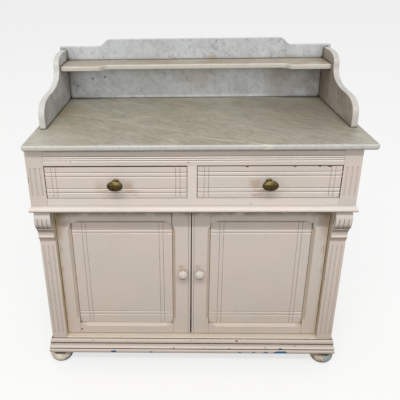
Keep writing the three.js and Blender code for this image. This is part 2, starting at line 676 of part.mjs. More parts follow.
// Section of a plinth board, as [distance in from the outermost line, z]
function plinthSection() {
  const seat = PLINTH_PROJECTION - FIT;
  const ledge = boardBottom - FIT;
  const inside = [[seat, plinthTop], [seat, ledge], [plinthDepth, ledge], [plinthDepth, plinthBottom]];
  return [...plinthProfile(), ...inside];
}

// The front board's plan is a trapezium, the side boards start at its mitres
function plinthFrontBoard() {
  const section = plinthSection().map(([inset, z]) => [plinthFront + inset, z]);
  const plan = [
    [-plinthOuter, plinthFront], [plinthOuter, plinthFront],
    [plinthInner, plinthFront + plinthDepth], [-plinthInner, plinthFront + plinthDepth],
  ];
  const length = sweepX(shapeFrom(section), [-plinthOuter, plinthOuter]);
  return length.intersect(sweepZ(shapeFrom(plan), [plinthBottom, plinthTop]));
}

function plinthSideBoard(side) {
  const section = plinthSection().map(([inset, z]) => [side * (plinthOuter - inset), z]);
  const start = plinthFront + 2 * FIT;
  const plan = [
    [side * plinthOuter, start], [side * plinthOuter, CARCASS_DEPTH],
    [side * plinthInner, CARCASS_DEPTH], [side * plinthInner, start + plinthDepth],
  ];
  const length = sweepY(shapeFrom(section), [plinthFront, CARCASS_DEPTH]);
  return length.intersect(sweepZ(shapeFrom(plan), [plinthBottom, plinthTop]));
}

function foot(side, y) {
  const shoulder = FOOT_HEIGHT - FIT;
  const bunTop = shoulder - FOOT_NECK_HEIGHT;
  const middle = bunTop / 2;
  const swell = [FOOT_SOLE_RADIUS - FOOT_RADIUS, middle];
  const centre = [FOOT_SOLE_RADIUS, middle];
  const bun = [
    ...arc(centre, swell, -Math.PI / 2, 0, SHORT_CURVE_STEPS),
    ...arc(centre, swell, 0, FOOT_SWELL_END, SHORT_CURVE_STEPS).slice(1),
  ];
  const spigotTop = boardBottom + SPIGOT_DEPTH;
  const points = [
    [0, 0], ...bun, [FOOT_NECK_RADIUS, bunTop], [FOOT_NECK_RADIUS, shoulder - FOOT_FLARE],
    [FOOT_NECK_RADIUS + FOOT_FLARE, shoulder], [SPIGOT_RADIUS, shoulder],
    [SPIGOT_RADIUS, spigotTop], [0, spigotTop],
  ];
  return turned(points, TURNED_SIDES).translate([footX(side), y, 0]);
}

// A turned piece from its half section, [radius, height] along Z
function turned(points, facets) {
  const geometry = new THREE.LatheGeometry(points.map(([r, z]) => new THREE.Vector2(r, z)), facets);
  geometry.rotateX(Math.PI / 2);
  return solidOf(geometry);
}

// Drawer runners, each with a guide that keeps the drawers from rubbing the carcass
const guideFace = openingOuter - DRAWER_GAP - DRAWER_SIDE_INSET + GUIDE_GAP;
const runnerSpan = [CORNER_BLOCK_DEPTH + FIT, backFront - FIT];

function sideRunner(side) {
  const top = drawerBottom;
  const outer = sideInner - FIT;
  const lip = guideFace - GUIDE_GAP - DRAWER_SIDE_THICKNESS - RUNNER_REACH;
  const section = [
    [outer, top - RUNNER_HEIGHT], [outer, top + GUIDE_RISE], [guideFace, top + GUIDE_RISE],
    [guideFace, top], [lip, top], [lip, top - RUNNER_HEIGHT],
  ].map(([x, z]) => [side * x, z]);
  return sweepY(shapeFrom(section), runnerSpan);
}

function centreRunner() {
  const top = drawerBottom;
  const guide = openingInner + DRAWER_GAP + DRAWER_SIDE_INSET - GUIDE_GAP;
  const lip = guide + GUIDE_GAP + DRAWER_SIDE_THICKNESS + RUNNER_REACH;
  const right = [[lip, top - RUNNER_HEIGHT], [lip, top], [guide, top], [guide, top + GUIDE_RISE]];
  const left = right.map(([x, z]) => [-x, z]).reverse();
  return sweepY(shapeFrom([...right, ...left]), runnerSpan);
}

// Drawers
const drawerFrontSpan = [openingInner + DRAWER_GAP, openingOuter - DRAWER_GAP];
const drawerFloor = drawerBottom + FIT;
const drawerBoxEnd = DRAWER_FRONT_THICKNESS + FIT + DRAWER_BOX_DEPTH;
const drawerSides = {
  inner: pair(drawerFrontSpan[0] + DRAWER_SIDE_INSET, DRAWER_SIDE_THICKNESS),
  outer: pair(drawerFrontSpan[1] - DRAWER_SIDE_INSET, -DRAWER_SIDE_THICKNESS),
};
const bottomPanelZ = pair(drawerFloor + DRAWER_BOTTOM_RISE, DRAWER_BOTTOM_THICKNESS);
const bottomGrooveZ = [bottomPanelZ[0] - FIT, bottomPanelZ[1] + FIT];
const bottomGroove = (side) => box(
  onSide(side, drawerSides.inner[1] - DRAWER_BOTTOM_HOUSING, drawerSides.outer[1] + DRAWER_BOTTOM_HOUSING),
  [DRAWER_FRONT_THICKNESS - DRAWER_BOTTOM_HOUSING, drawerBoxEnd + FIT],
  bottomGrooveZ,
);
const drawerMiddle = (drawerFrontSpan[0] + drawerFrontSpan[1]) / 2;
const drawerKnobZ = (drawerBottom + drawerTop) / 2;

function drawerFront(side) {
  const [x0, x1] = drawerFrontSpan;
  const [z0, z1] = [drawerFloor, drawerTop - DRAWER_GAP];
  const board = box(onSide(side, x0, x1), [0, DRAWER_FRONT_THICKNESS], [z0, z1]);
  const bore = round(STUD_RADIUS + FIT, SMALL_TURNED_SIDES, [-STUD_LENGTH - FIT, OVERCUT]);
  return subtractAll(board, [
    ...linePairs([z0, z1], DRAWER_LINE_INSET, DRAWER_LINE_INSET)
      .map((z) => lineAcross([-halfWidth, halfWidth], 0, z)),
    ...linePairs([x0, x1], DRAWER_LINE_INSET, DRAWER_LINE_INSET)
      .map((x) => lineUp(side * x, 0, [z0 - OVERCUT, z1 + OVERCUT])),
    bottomGroove(side),
    facingFront(solidOf(bore), side * drawerMiddle, 0, drawerKnobZ),
  ]);
}

function drawerSide(side, which) {
  const board = box(
    onSide(side, ...drawerSides[which]),
    [DRAWER_FRONT_THICKNESS + FIT, drawerBoxEnd],
    [drawerFloor, drawerFloor + DRAWER_SIDE_HEIGHT],
  );
  return board.subtract(bottomGroove(side));
}

function drawerBack(side) {
  return box(
    onSide(side, drawerSides.inner[1] + FIT, drawerSides.outer[1] - FIT),
    [drawerBoxEnd - DRAWER_SIDE_THICKNESS, drawerBoxEnd],
    [bottomGrooveZ[1], drawerFloor + DRAWER_SIDE_HEIGHT - DRAWER_BACK_DROP],
  );
}

function drawerBottomPanel(side) {
  const housing = DRAWER_BOTTOM_HOUSING - FIT;
  return box(
    onSide(side, drawerSides.inner[1] - housing, drawerSides.outer[1] + housing),
    [DRAWER_FRONT_THICKNESS - housing, drawerBoxEnd],
    bottomPanelZ,
  );
}

// Stud, rose and stem in one, with an oval head
function drawerKnob(side) {
  const half = OVAL_THICKNESS / 2;
  const middle = DRAWER_KNOB_REACH - half;
  const stem = [
    [0, -STUD_LENGTH], [STUD_RADIUS, -STUD_LENGTH], [STUD_RADIUS, FIT], [ROSE_RADIUS, FIT],
    [ROSE_RADIUS, ROSE_EDGE], [ROSE_CROWN_RADIUS, ROSE_THICKNESS],
    [STEM_RADIUS + STEM_FLARE, ROSE_THICKNESS + STEM_FLARE],
    [STEM_RADIUS, ROSE_THICKNESS + STEM_FLARE_HEIGHT], [STEM_RADIUS, middle], [0, middle],
  ];
  const head = arc([0, middle], [-OVAL_HEIGHT / 2, half], -Math.PI / 2, Math.PI / 2).slice(1, -1);
  const ball = turned([[0, middle - half], ...head, [0, middle + half]], SMALL_TURNED_SIDES);
  const oval = ball.scale([OVAL_WIDTH / OVAL_HEIGHT, 1, 1]);
  return facingFront(turned(stem, SMALL_TURNED_SIDES).add(oval), side * drawerMiddle, 0, drawerKnobZ);
}

// Doors
const doorZ = [boardTop + DOOR_GAP_END, waistBottom - DOOR_GAP_END];
const doorX = [DOOR_GAP_MIDDLE / 2, pilasterInner - DOOR_GAP_SIDE];
const panelOpeningX = [doorX[0] + MEETING_STILE, doorX[1] - HINGE_STILE];
const panelOpeningZ = [doorZ[0] + BOTTOM_RAIL, doorZ[1] - TOP_RAIL];
const panelY = pair(doorFace + PANEL_RECESS, PANEL_THICKNESS);
const panelGrooveY = [panelY[0] - FIT, panelY[1] + FIT];
const pinX = doorX[1] - PIN_SETBACK;
const pinY = doorFace + PIN_SETBACK;

function pinBore(side, span) {
  const geometry = round(PIN_RADIUS + PIN_BORE_PLAY, SMALL_TURNED_SIDES, span);
  return solidOf(geometry.translate(side * pinX, pinY, 0));
}

// Solid that cuts a 45 degree chamfer with curved stops along the X axis. The edge to cut is
// the X axis itself, the wood lies at +Y and +Z of it.
function chamferCutter(length) {
  const depth = CHAMFER / Math.SQRT2;
  const half = length / 2 - CHAMFER_STOP;
  const full = half - CHAMFER_TONGUE;
  const bend = (half + full) / 2;
  const shape = new THREE.Shape();
  shape.moveTo(-half, -CHAMFER);
  shape.lineTo(half, -CHAMFER);
  shape.lineTo(half, 0);
  shape.bezierCurveTo(bend, 0, bend, depth, full, depth);
  shape.lineTo(-full, depth);
  shape.bezierCurveTo(-bend, depth, -bend, 0, -half, 0);
  const reach = 2 * CHAMFER;
  const geometry = extrude(shape, 2 * reach);
  geometry.translate(0, 0, -reach);
  geometry.rotateX(Math.PI / 4);
  return solidOf(geometry);
}

// The four edges of the panel's opening, as the chamfer's turn about Y and its middle
function openingChamfers(side) {
  const [x0, x1] = onSide(side, ...panelOpeningX);
  const [z0, z1] = panelOpeningZ;
  const [xm, zm] = [(x0 + x1) / 2, (z0 + z1) / 2];
  const level = [[x1 - x0, 0, xm, z1], [x1 - x0, 180, xm, z0]];
  const upright = [[z1 - z0, 90, x1, zm], [z1 - z0, -90, x0, zm]];
  return [...level, ...upright].map(([length, turn, x, z]) =>
    chamferCutter(length).rotate([0, turn, 0]).translate([x, doorFace, z]));
}

// The rails' grooves end at the panel, the stiles' run through and take the tenons too
const widen = ([from, to], reach) => [from - reach, to + reach];
const grooveX = (side) => onSide(side, ...widen(panelOpeningX, TENON_LENGTH + FIT));
const panelGroove = (side) => box(grooveX(side), panelGrooveY, widen(panelOpeningZ, TENON_LENGTH + FIT));
const stileGroove = (side) => box(grooveX(side), panelGrooveY, widen(doorZ, OVERCUT));

// The outer edge is rounded about the pin, so that it clears the pilaster as it turns
function hingeStile(side) {
  const outline = [
    ...arc([-pinX, pinY], [-PIN_SETBACK, -PIN_SETBACK], 0, Math.PI / 2).map(([x, y]) => [-x, y]),
    [panelOpeningX[1], doorFace], [panelOpeningX[1], doorBack], [doorX[1], doorBack],
  ].map(([x, y]) => [side * x, y]);
  return subtractAll(sweepZ(shapeFrom(outline), doorZ), [
    stileGroove(side),
    ...openingChamfers(side),
    pinBore(side, [doorZ[0] - OVERCUT, doorZ[0] + PIN_GRIP + FIT]),
    pinBore(side, [doorZ[1] - PIN_GRIP - FIT, doorZ[1] + OVERCUT]),
  ]);
}

const onKnobCentre = (side, solid) =>
  facingFront(solid, side * (doorX[0] + DOOR_KNOB_INSET), doorFace, boardTop + DOOR_KNOB_HEIGHT);

function meetingStile(side) {
  const stile = box(onSide(side, doorX[0], panelOpeningX[0]), [doorFace, doorBack], doorZ);
  const bore = round(DOOR_KNOB_TENON_RADIUS + FIT, SMALL_TURNED_SIDES, [-DOOR_KNOB_TENON - FIT, OVERCUT]);
  return subtractAll(stile, [
    stileGroove(side),
    ...openingChamfers(side),
    lineUp(side * (doorX[0] + MEETING_BEAD), doorFace, widen(doorZ, OVERCUT)),
    onKnobCentre(side, solidOf(bore)),
  ]);
}

// A rail with a stub tenon at each end that fills the stile's groove
function doorRail(side, height) {
  const rail = box(onSide(side, ...widen(panelOpeningX, -FIT)), [doorFace, doorBack], height);
  const tenon = box(onSide(side, ...widen(panelOpeningX, TENON_LENGTH)), panelY, height);
  return subtractAll(rail.add(tenon), [panelGroove(side), ...openingChamfers(side)]);
}

function doorPanel(side) {
  const width = widen(panelOpeningX, TENON_LENGTH - PANEL_PLAY);
  const height = widen(panelOpeningZ, TENON_LENGTH - PANEL_PLAY);
  return subtractAll(box(onSide(side, ...width), panelY, height), [
    ...linePairs(panelOpeningX, PANEL_LINE_SIDE, PANEL_LINE_SIDE)
      .map((x) => lineUp(side * x, panelY[0], widen(height, OVERCUT))),
    ...linePairs(panelOpeningZ, PANEL_LINE_BOTTOM, PANEL_LINE_TOP)
      .map((z) => lineAcross(onSide(side, ...widen(width, OVERCUT)), panelY[0], z)),
  ]);
}

function doorKnob(side) {
  const neck = [DOOR_KNOB_NECK_RADIUS, DOOR_KNOB_NECK_END];
  const rim = [DOOR_KNOB_RADIUS, DOOR_KNOB_RIM];
  const face = new THREE.CubicBezierCurve(
    new THREE.Vector2(...rim),
    new THREE.Vector2(DOOR_KNOB_RADIUS, DOOR_KNOB_FACE),
    new THREE.Vector2(DOOR_KNOB_POINT_RADIUS, DOOR_KNOB_FACE),
    new THREE.Vector2(DOOR_KNOB_TIP_RADIUS, DOOR_KNOB_REACH),
  );
  const points = [
    [0, -DOOR_KNOB_TENON], [DOOR_KNOB_TENON_RADIUS, -DOOR_KNOB_TENON],
    [DOOR_KNOB_TENON_RADIUS, FIT], [DOOR_KNOB_FOOT_RADIUS, FIT],
    [DOOR_KNOB_FOOT_RADIUS, DOOR_KNOB_FOOT], [DOOR_KNOB_NECK_RADIUS, DOOR_KNOB_NECK_START],
    ...bow(neck, [DOOR_KNOB_RADIUS, DOOR_KNOB_NECK_END], rim),
    ...face.getPoints(CURVE_STEPS).slice(1).map((point) => [point.x, point.y]),
    [0, DOOR_KNOB_REACH],
  ];
  return onKnobCentre(side, turned(points, SMALL_TURNED_SIDES));
}

const doorPin = (side, span) =>
  solidOf(round(PIN_RADIUS, SMALL_TURNED_SIDES, span).translate(side * pinX, pinY, 0));

function doorStop() {
  const half = STOP_WIDTH / 2;
  const front = doorBack + FIT;
  return box([-half, half], [front, front + STOP_DEPTH], [boardTop + FIT, boardTop + STOP_HEIGHT]);
}

// The whole piece
const group = new THREE.Group();
const add = (parent, name, solid, material) => {
  const mesh = new THREE.Mesh(geometryOf(solid), material.clone());
  mesh.name = name;
  parent.add(mesh);
};

const marbleGroup = new THREE.Group();
marbleGroup.position.x = MARBLE_SHIFT;
group.add(marbleGroup);
add(marbleGroup, 'marble_top', marbleTop(), marble);
add(marbleGroup, 'marble_splashback', splashback(), marble);
add(marbleGroup, 'marble_shelf', marbleShelf(), marble);

add(group, 'frieze_rail', friezeRail(), cream);
add(group, 'drawer_divider', drawerDivider(), cream);
add(group, 'lower_rail', lowerRail(), cream);
add(group, 'waist_moulding_front', waistFront(), cream);
add(group, 'bottom_board', bottomBoard(), cream);
add(group, 'plinth_front', plinthFrontBoard(), cream);
add(group, 'back_panel', backPanel(), pine);
add(group, 'drawer_runner_centre', centreRunner(), pine);
add(group, 'door_stop', doorStop(), pine);
for (const [name, side, y] of footCentres) add(group, name, foot(side, y), cream);

for (const [label, side] of sides) {
  add(marbleGroup, `marble_side_${label}`, marbleSide(side), marble);
  add(group, `side_panel_${label}`, sidePanel(side), cream);
  add(group, `corner_block_${label}`, cornerBlock(side), cream);
  add(group, `waist_moulding_${label}`, waistReturn(side), cream);
  add(group, `pilaster_${label}`, pilaster(side), cream);
  add(group, `corbel_${label}`, corbel(side), cream);
  add(group, `plinth_${label}`, plinthSideBoard(side), cream);
  add(group, `drawer_runner_${label}`, sideRunner(side), pine);
  add(group, `door_${label}_pin_bottom`, doorPin(side, [boardTop - PIN_SEAT, doorZ[0] + PIN_GRIP]), steel);
  add(group, `door_${label}_pin_top`, doorPin(side, [doorZ[1] - PIN_GRIP, waistBottom + PIN_SEAT]), steel);

  const drawer = new THREE.Group();
  group.add(drawer);
  add(drawer, `drawer_${label}_front`, drawerFront(side), cream);
  add(drawer, `drawer_${label}_side_inner`, drawerSide(side, 'inner'), pine);
  add(drawer, `drawer_${label}_side_outer`, drawerSide(side, 'outer'), pine);
  add(drawer, `drawer_${label}_back`, drawerBack(side), pine);
  add(drawer, `drawer_${label}_bottom`, drawerBottomPanel(side), pine);
  add(drawer, `drawer_${label}_knob`, drawerKnob(side), brass);

  const door = new THREE.Group();
  group.add(door);
  add(door, `door_${label}_hinge_stile`, hingeStile(side), cream);
  add(door, `door_${label}_meeting_stile`, meetingStile(side), cream);
  add(door, `door_${label}_top_rail`, doorRail(side, [panelOpeningZ[1], doorZ[1]]), cream);
  add(door, `door_${label}_bottom_rail`, doorRail(side, [doorZ[0], panelOpeningZ[0]]), cream);
  add(door, `door_${label}_panel`, doorPanel(side), cream);
  add(door, `door_${label}_knob`, doorKnob(side), cream);
}

// Origin at the bottom centre of the whole object
const bounds = new THREE.Box3().setFromObject(group);
const centre = bounds.getCenter(new THREE.Vector3());
group.position.set(-centre.x, -centre.y, -bounds.min.z);

export default group;
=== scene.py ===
"""A painted pine washstand with a marble top, dressed piece by piece around its frame.

Metres throughout, +Z up, and the front faces -Y. Every visible piece is built where the frame
says that it stands, and rides on the body that carries it.
"""

import logging
import math
from collections.abc import Callable, Iterator, Sequence
from contextlib import contextmanager
from dataclasses import dataclass, field
from enum import Enum
from typing import ClassVar

import bmesh
import bpy
from bpy.types import Material, NodeSocket, Object
from mathutils import Matrix, Vector


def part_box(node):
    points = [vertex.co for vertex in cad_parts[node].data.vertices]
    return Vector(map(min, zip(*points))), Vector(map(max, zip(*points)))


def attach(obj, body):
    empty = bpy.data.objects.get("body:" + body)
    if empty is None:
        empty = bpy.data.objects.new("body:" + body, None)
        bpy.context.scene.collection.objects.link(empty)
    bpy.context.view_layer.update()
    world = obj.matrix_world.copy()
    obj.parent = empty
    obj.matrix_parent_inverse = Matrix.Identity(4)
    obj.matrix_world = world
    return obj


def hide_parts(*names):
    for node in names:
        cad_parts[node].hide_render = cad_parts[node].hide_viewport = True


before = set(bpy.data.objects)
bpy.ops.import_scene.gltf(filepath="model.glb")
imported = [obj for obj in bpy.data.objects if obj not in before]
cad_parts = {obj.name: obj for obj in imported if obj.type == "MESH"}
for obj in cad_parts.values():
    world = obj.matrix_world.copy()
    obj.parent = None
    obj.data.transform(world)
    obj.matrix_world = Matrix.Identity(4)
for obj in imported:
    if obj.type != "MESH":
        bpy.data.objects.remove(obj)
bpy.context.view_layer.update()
log = logging.getLogger("washstand")

Box = tuple[Vector, Vector]
Point2 = tuple[float, float]
Point3 = tuple[float, float, float]
Point4 = tuple[float, float, float, float]
Spot = tuple[Vector, float, str, float]
Wanted = Callable[[Vector, Vector], bool]

WELD = 1e-6
SMOOTH_ANGLE = math.radians(34)
# The play of a board in its groove, and how far a cutter reaches past the wood.
FIT = 0.0003
OVER = 0.01
# A direction runs along an axis if the cosine between them is larger than this.
SQUARE = 0.9
# How a flake's cutter is turned, so that it leaves no straight facets.
ASKEW = (0.3, 0.4, 0.2)


class Axis(Enum):
    """A direction along which a board's grain or a cut line runs."""

    X = (1.0, 0.0, 0.0)
    Y = (0.0, 1.0, 0.0)
    Z = (0.0, 0.0, 1.0)

    @property
    def vector(self) -> Vector:
        """The unit vector of this axis."""
        return Vector(self.value)


class Side(Enum):
    """The left or the right half of the washstand, as seen from the front."""

    LEFT = -1
    RIGHT = 1

    @property
    def label(self) -> str:
        """The word that this side's piece names hold."""
        return self.name.lower()


class Body(Enum):
    """The bodies of the frame that pieces ride on."""

    CARCASS = "carcass"
    DRAWER_LEFT = "drawer_left"
    DRAWER_RIGHT = "drawer_right"
    DOOR_LEFT = "door_left"
    DOOR_RIGHT = "door_right"


class Slot(Enum):
    """Names of material slots for the new pieces, which fit() is handed but does not use."""

    MARBLE = "marble"
    PAINT = "cream_paint"
    PINE = "bare_pine"
    BRASS = "aged_brass"


def pick_up(*pieces: Object) -> None:
    """Selects these pieces alone, and makes the last one active.

    Args:
        pieces: The objects to work on.
    """
    bpy.ops.object.select_all(action="DESELECT")
    for piece in pieces:
        piece.select_set(True)
    bpy.context.view_layer.objects.active = pieces[-1]


@contextmanager
def editing(piece: Object, whole: bool = False) -> Iterator[None]:
    """Opens a piece in edit mode, and closes it again.

    Args:
        piece: The mesh to edit.
        whole: Whether all of it is selected, rather than nothing.
    """
    pick_up(piece)
    bpy.ops.object.mode_set(mode="EDIT")
    bpy.ops.mesh.select_mode(type="VERT")
    bpy.ops.mesh.select_all(action="SELECT" if whole else "DESELECT")
    yield
    bpy.ops.object.mode_set(mode="OBJECT")


def choose_edges(piece: Object, wanted: Wanted, least_angle: float) -> None:
    """Selects the sharp edges that suit, on a piece in edit mode.

    Args:
        piece: The mesh being edited.
        wanted: Says yes or no to an edge's middle and direction.
        least_angle: Flatter edges than this are passed over.
    """
    bpy.ops.mesh.select_mode(type="EDGE")
    shape = bmesh.from_edit_mesh(piece.data)
    for edge in shape.edges:
        start, end = (corner.co for corner in edge.verts)
        sharp = edge.calc_face_angle(math.pi) > least_angle
        edge.select_set(sharp and wanted((start + end) / 2, (end - start).normalized()))
    bmesh.update_edit_mesh(piece.data)


def choose_faces(piece: Object, wanted: Wanted) -> None:
    """Selects the faces that suit, on a piece in edit mode.

    Args:
        piece: The mesh being edited.
        wanted: Says yes or no to a face's middle and normal.
    """
    bpy.ops.mesh.select_mode(type="FACE")
    shape = bmesh.from_edit_mesh(piece.data)
    for face in shape.faces:
        face.select_set(wanted(face.calc_center_median(), face.normal))
    bmesh.update_edit_mesh(piece.data)


def settle(piece: Object) -> None:
    """Moves a piece's place, turn and size into its mesh.

    Args:
        piece: The object to settle.
    """
    pick_up(piece)
    bpy.ops.object.transform_apply(location=True, rotation=True, scale=True)


def duplicate(piece: Object, name: str) -> Object:
    """A copy of a piece with a mesh of its own.

    Args:
        piece: The object to copy.
        name: The copy's name.

    Returns:
        The new object.
    """
    pick_up(piece)
    bpy.ops.object.duplicate(linked=False)
    copy = bpy.context.object
    copy.name = name
    return copy


def shift(piece: Object, by: Vector) -> Object:
    """Moves a piece in edit mode, so that its object stays at the origin.

    Args:
        piece: The object to move.
        by: How far it goes.

    Returns:
        The same object.
    """
    with editing(piece, whole=True):
        bpy.ops.transform.translate(value=by)
    return piece


def trace(name: str, points: Sequence[Vector], fill: bool = True) -> Object:
    """Draws an outline by extruding one corner from point to point.

    Args:
        name: The new object's name.
        points: The outline's corners in order.
        fill: Whether the outline closes and gets a face.

    Returns:
        The new object.
    """
    bpy.ops.object.select_all(action="DESELECT")
    bpy.ops.mesh.primitive_plane_add(size=WELD, location=points[0])
    piece = bpy.context.object
    piece.name = name
    with editing(piece, whole=True):
        bpy.ops.mesh.merge(type="CENTER")
        for here, there in zip(points, points[1:]):
            bpy.ops.mesh.extrude_vertices_move(TRANSFORM_OT_translate={"value": there - here})
        if fill:
            bpy.ops.mesh.select_all(action="SELECT")
            bpy.ops.mesh.edge_face_add()
    settle(piece)
    return piece


def draw_out(piece: Object, reach: Vector) -> Object:
    """Extrudes a flat outline into a closed solid.

    Args:
        piece: A mesh of one face.
        reach: The way and length of the extrusion.

    Returns:
        The same object.
    """
    with editing(piece, whole=True):
        bpy.ops.mesh.extrude_region_move(TRANSFORM_OT_translate={"value": reach})
        bpy.ops.mesh.select_all(action="SELECT")
        bpy.ops.mesh.normals_make_consistent(inside=False)
    return piece


def prism(name: str, outline: Sequence[Point2], along: Axis, start: float, end: float) -> Object:
    """A solid whose outline is the same all along an axis.

    Args:
        name: The new object's name.
        outline: Its corners, on the two other axes in order.
        along: The axis.
        start: Where it starts on that axis.
        end: Where it ends.

    Returns:
        The new object.
    """
    place = list(Axis).index(along)
    corners = [Vector((*point[:place], start, *point[place:])) for point in outline]
    return draw_out(trace(name, corners), along.vector * (end - start))


def turn(name: str, section: Sequence[Point2], foot: Vector, axis: Vector, facets: int) -> Object:
    """Turns a half section round an axis, as on a lathe.

    Args:
        name: The new object's name.
        section: Points of radius and reach along the axis, from axis to axis.
        foot: Where the axis starts.
        axis: The axis's direction.
        facets: How many steps a full turn takes.

    Returns:
        The turned solid.
    """
    outward = Vector((1.0, 0.0, 0.0))
    piece = trace(name, [foot + outward * radius + axis * reach for radius, reach in section], fill=False)
    with editing(piece, whole=True):
        bpy.ops.mesh.spin(steps=facets, angle=math.tau, center=foot, axis=axis)
        bpy.ops.mesh.select_all(action="SELECT")
        bpy.ops.mesh.remove_doubles(threshold=10 * WELD)
        bpy.ops.mesh.normals_make_consistent(inside=False)
    return piece


def carve(piece: Object, cutters: Sequence[Object], keep_common: bool = False) -> None:
    """Cuts a piece with other solids, which are used up.

    Args:
        piece: The solid to cut.
        cutters: What is taken away from it.
        keep_common: Keeps what piece and cutter share, in place of the rest.
    """
    for cutter in cutters:
        modifier = piece.modifiers.new("carve", "BOOLEAN")
        modifier.operation = "INTERSECT" if keep_common else "DIFFERENCE"
        modifier.solver = "EXACT"
        modifier.material_mode = "TRANSFER"
        modifier.object = cutter
        pick_up(piece)
        bpy.ops.object.modifier_apply(modifier=modifier.name)
        bpy.data.objects.remove(cutter)


def bend(start: Point2, control: Point2, end: Point2, steps: int = 10) -> list[Point2]:
    """Points on one bend, drawn towards a control point.

    Args:
        start: Where the bend starts.
        control: The corner that it is drawn towards.
        end: Where it ends.
        steps: How many straight stretches it has.

    Returns:
        The points, both ends included.
    """
    points = []
    for step in range(steps + 1):
        t = step / steps
        near, middle, far = (1 - t) ** 2, 2 * t * (1 - t), t * t
        points.append(tuple(near * a + middle * b + far * c for a, b, c in zip(start, control, end)))
    return points


def sweep(start: Point2, out: Point2, back: Point2, end: Point2, steps: int = 14) -> list[Point2]:
    """Points on a curve that leaves and arrives along two given ways.

    Args:
        start: Where the curve starts.
        out: The point that it sets out towards.
        back: The point that it arrives from.
        end: Where it ends.
        steps: How many straight stretches it has.

    Returns:
        The points, both ends included.
    """
    points = []
    for step in range(steps + 1):
        t = step / steps
        weights = ((1 - t) ** 3, 3 * t * (1 - t) ** 2, 3 * t * t * (1 - t), t**3)
        knots = list(zip(weights, (start, out, back, end)))
        points.append(tuple(sum(weight * knot[i] for weight, knot in knots) for i in (0, 1)))
    return points


def ogee(start: Point2, end: Point2, pull: float = 0.5, steps: int = 16) -> list[Point2]:
    """Points on a double curve that leaves and arrives level.

    Args:
        start: Where the curve starts.
        end: Where it ends.
        pull: How far it runs level before it turns, as a share of its length.
        steps: How many straight stretches it has.

    Returns:
        The points, both ends included.
    """
    run = pull * (end[0] - start[0])
    return sweep(start, (start[0] + run, start[1]), (end[0] - run, end[1]), end, steps)


def arc(centre: Point2, radii: Point2, start: float, end: float, steps: int = 12) -> list[Point2]:
    """Points on part of an ellipse, where angle 0 looks to the low side of the first axis.

    Args:
        centre: The ellipse's middle.
        radii: Its half width and half height.
        start: The first angle.
        end: The last angle.
        steps: How many straight stretches it has.

    Returns:
        The points, both ends included.
    """
    angles = [start + (end - start) * step / steps for step in range(steps + 1)]
    return [(centre[0] - radii[0] * math.cos(a), centre[1] + radii[1] * math.sin(a)) for a in angles]


def mirrored(right: Sequence[Point2], centre: float = 0.0) -> list[Point2]:
    """A whole outline from its right half.

    Args:
        right: The right half's points, measured from the centre.
        centre: The first coordinate of the line between the halves.

    Returns:
        The points of both halves.
    """
    return [*((centre + x, y) for x, y in right), *((centre - x, y) for x, y in reversed(right))]


def linear(code: str) -> Point4:
    """A colour for a shader, from its six-digit code.

    Args:
        code: The colour as it shows, such as d9cabb.

    Returns:
        Red, green, blue and opacity, in linear light.
    """
    shown = [int(code[place : place + 2], 16) / 255 for place in (0, 2, 4)]
    light = [c / 12.92 if c <= 0.04045 else ((c + 0.055) / 1.055) ** 2.4 for c in shown]
    return (*light, 1.0)


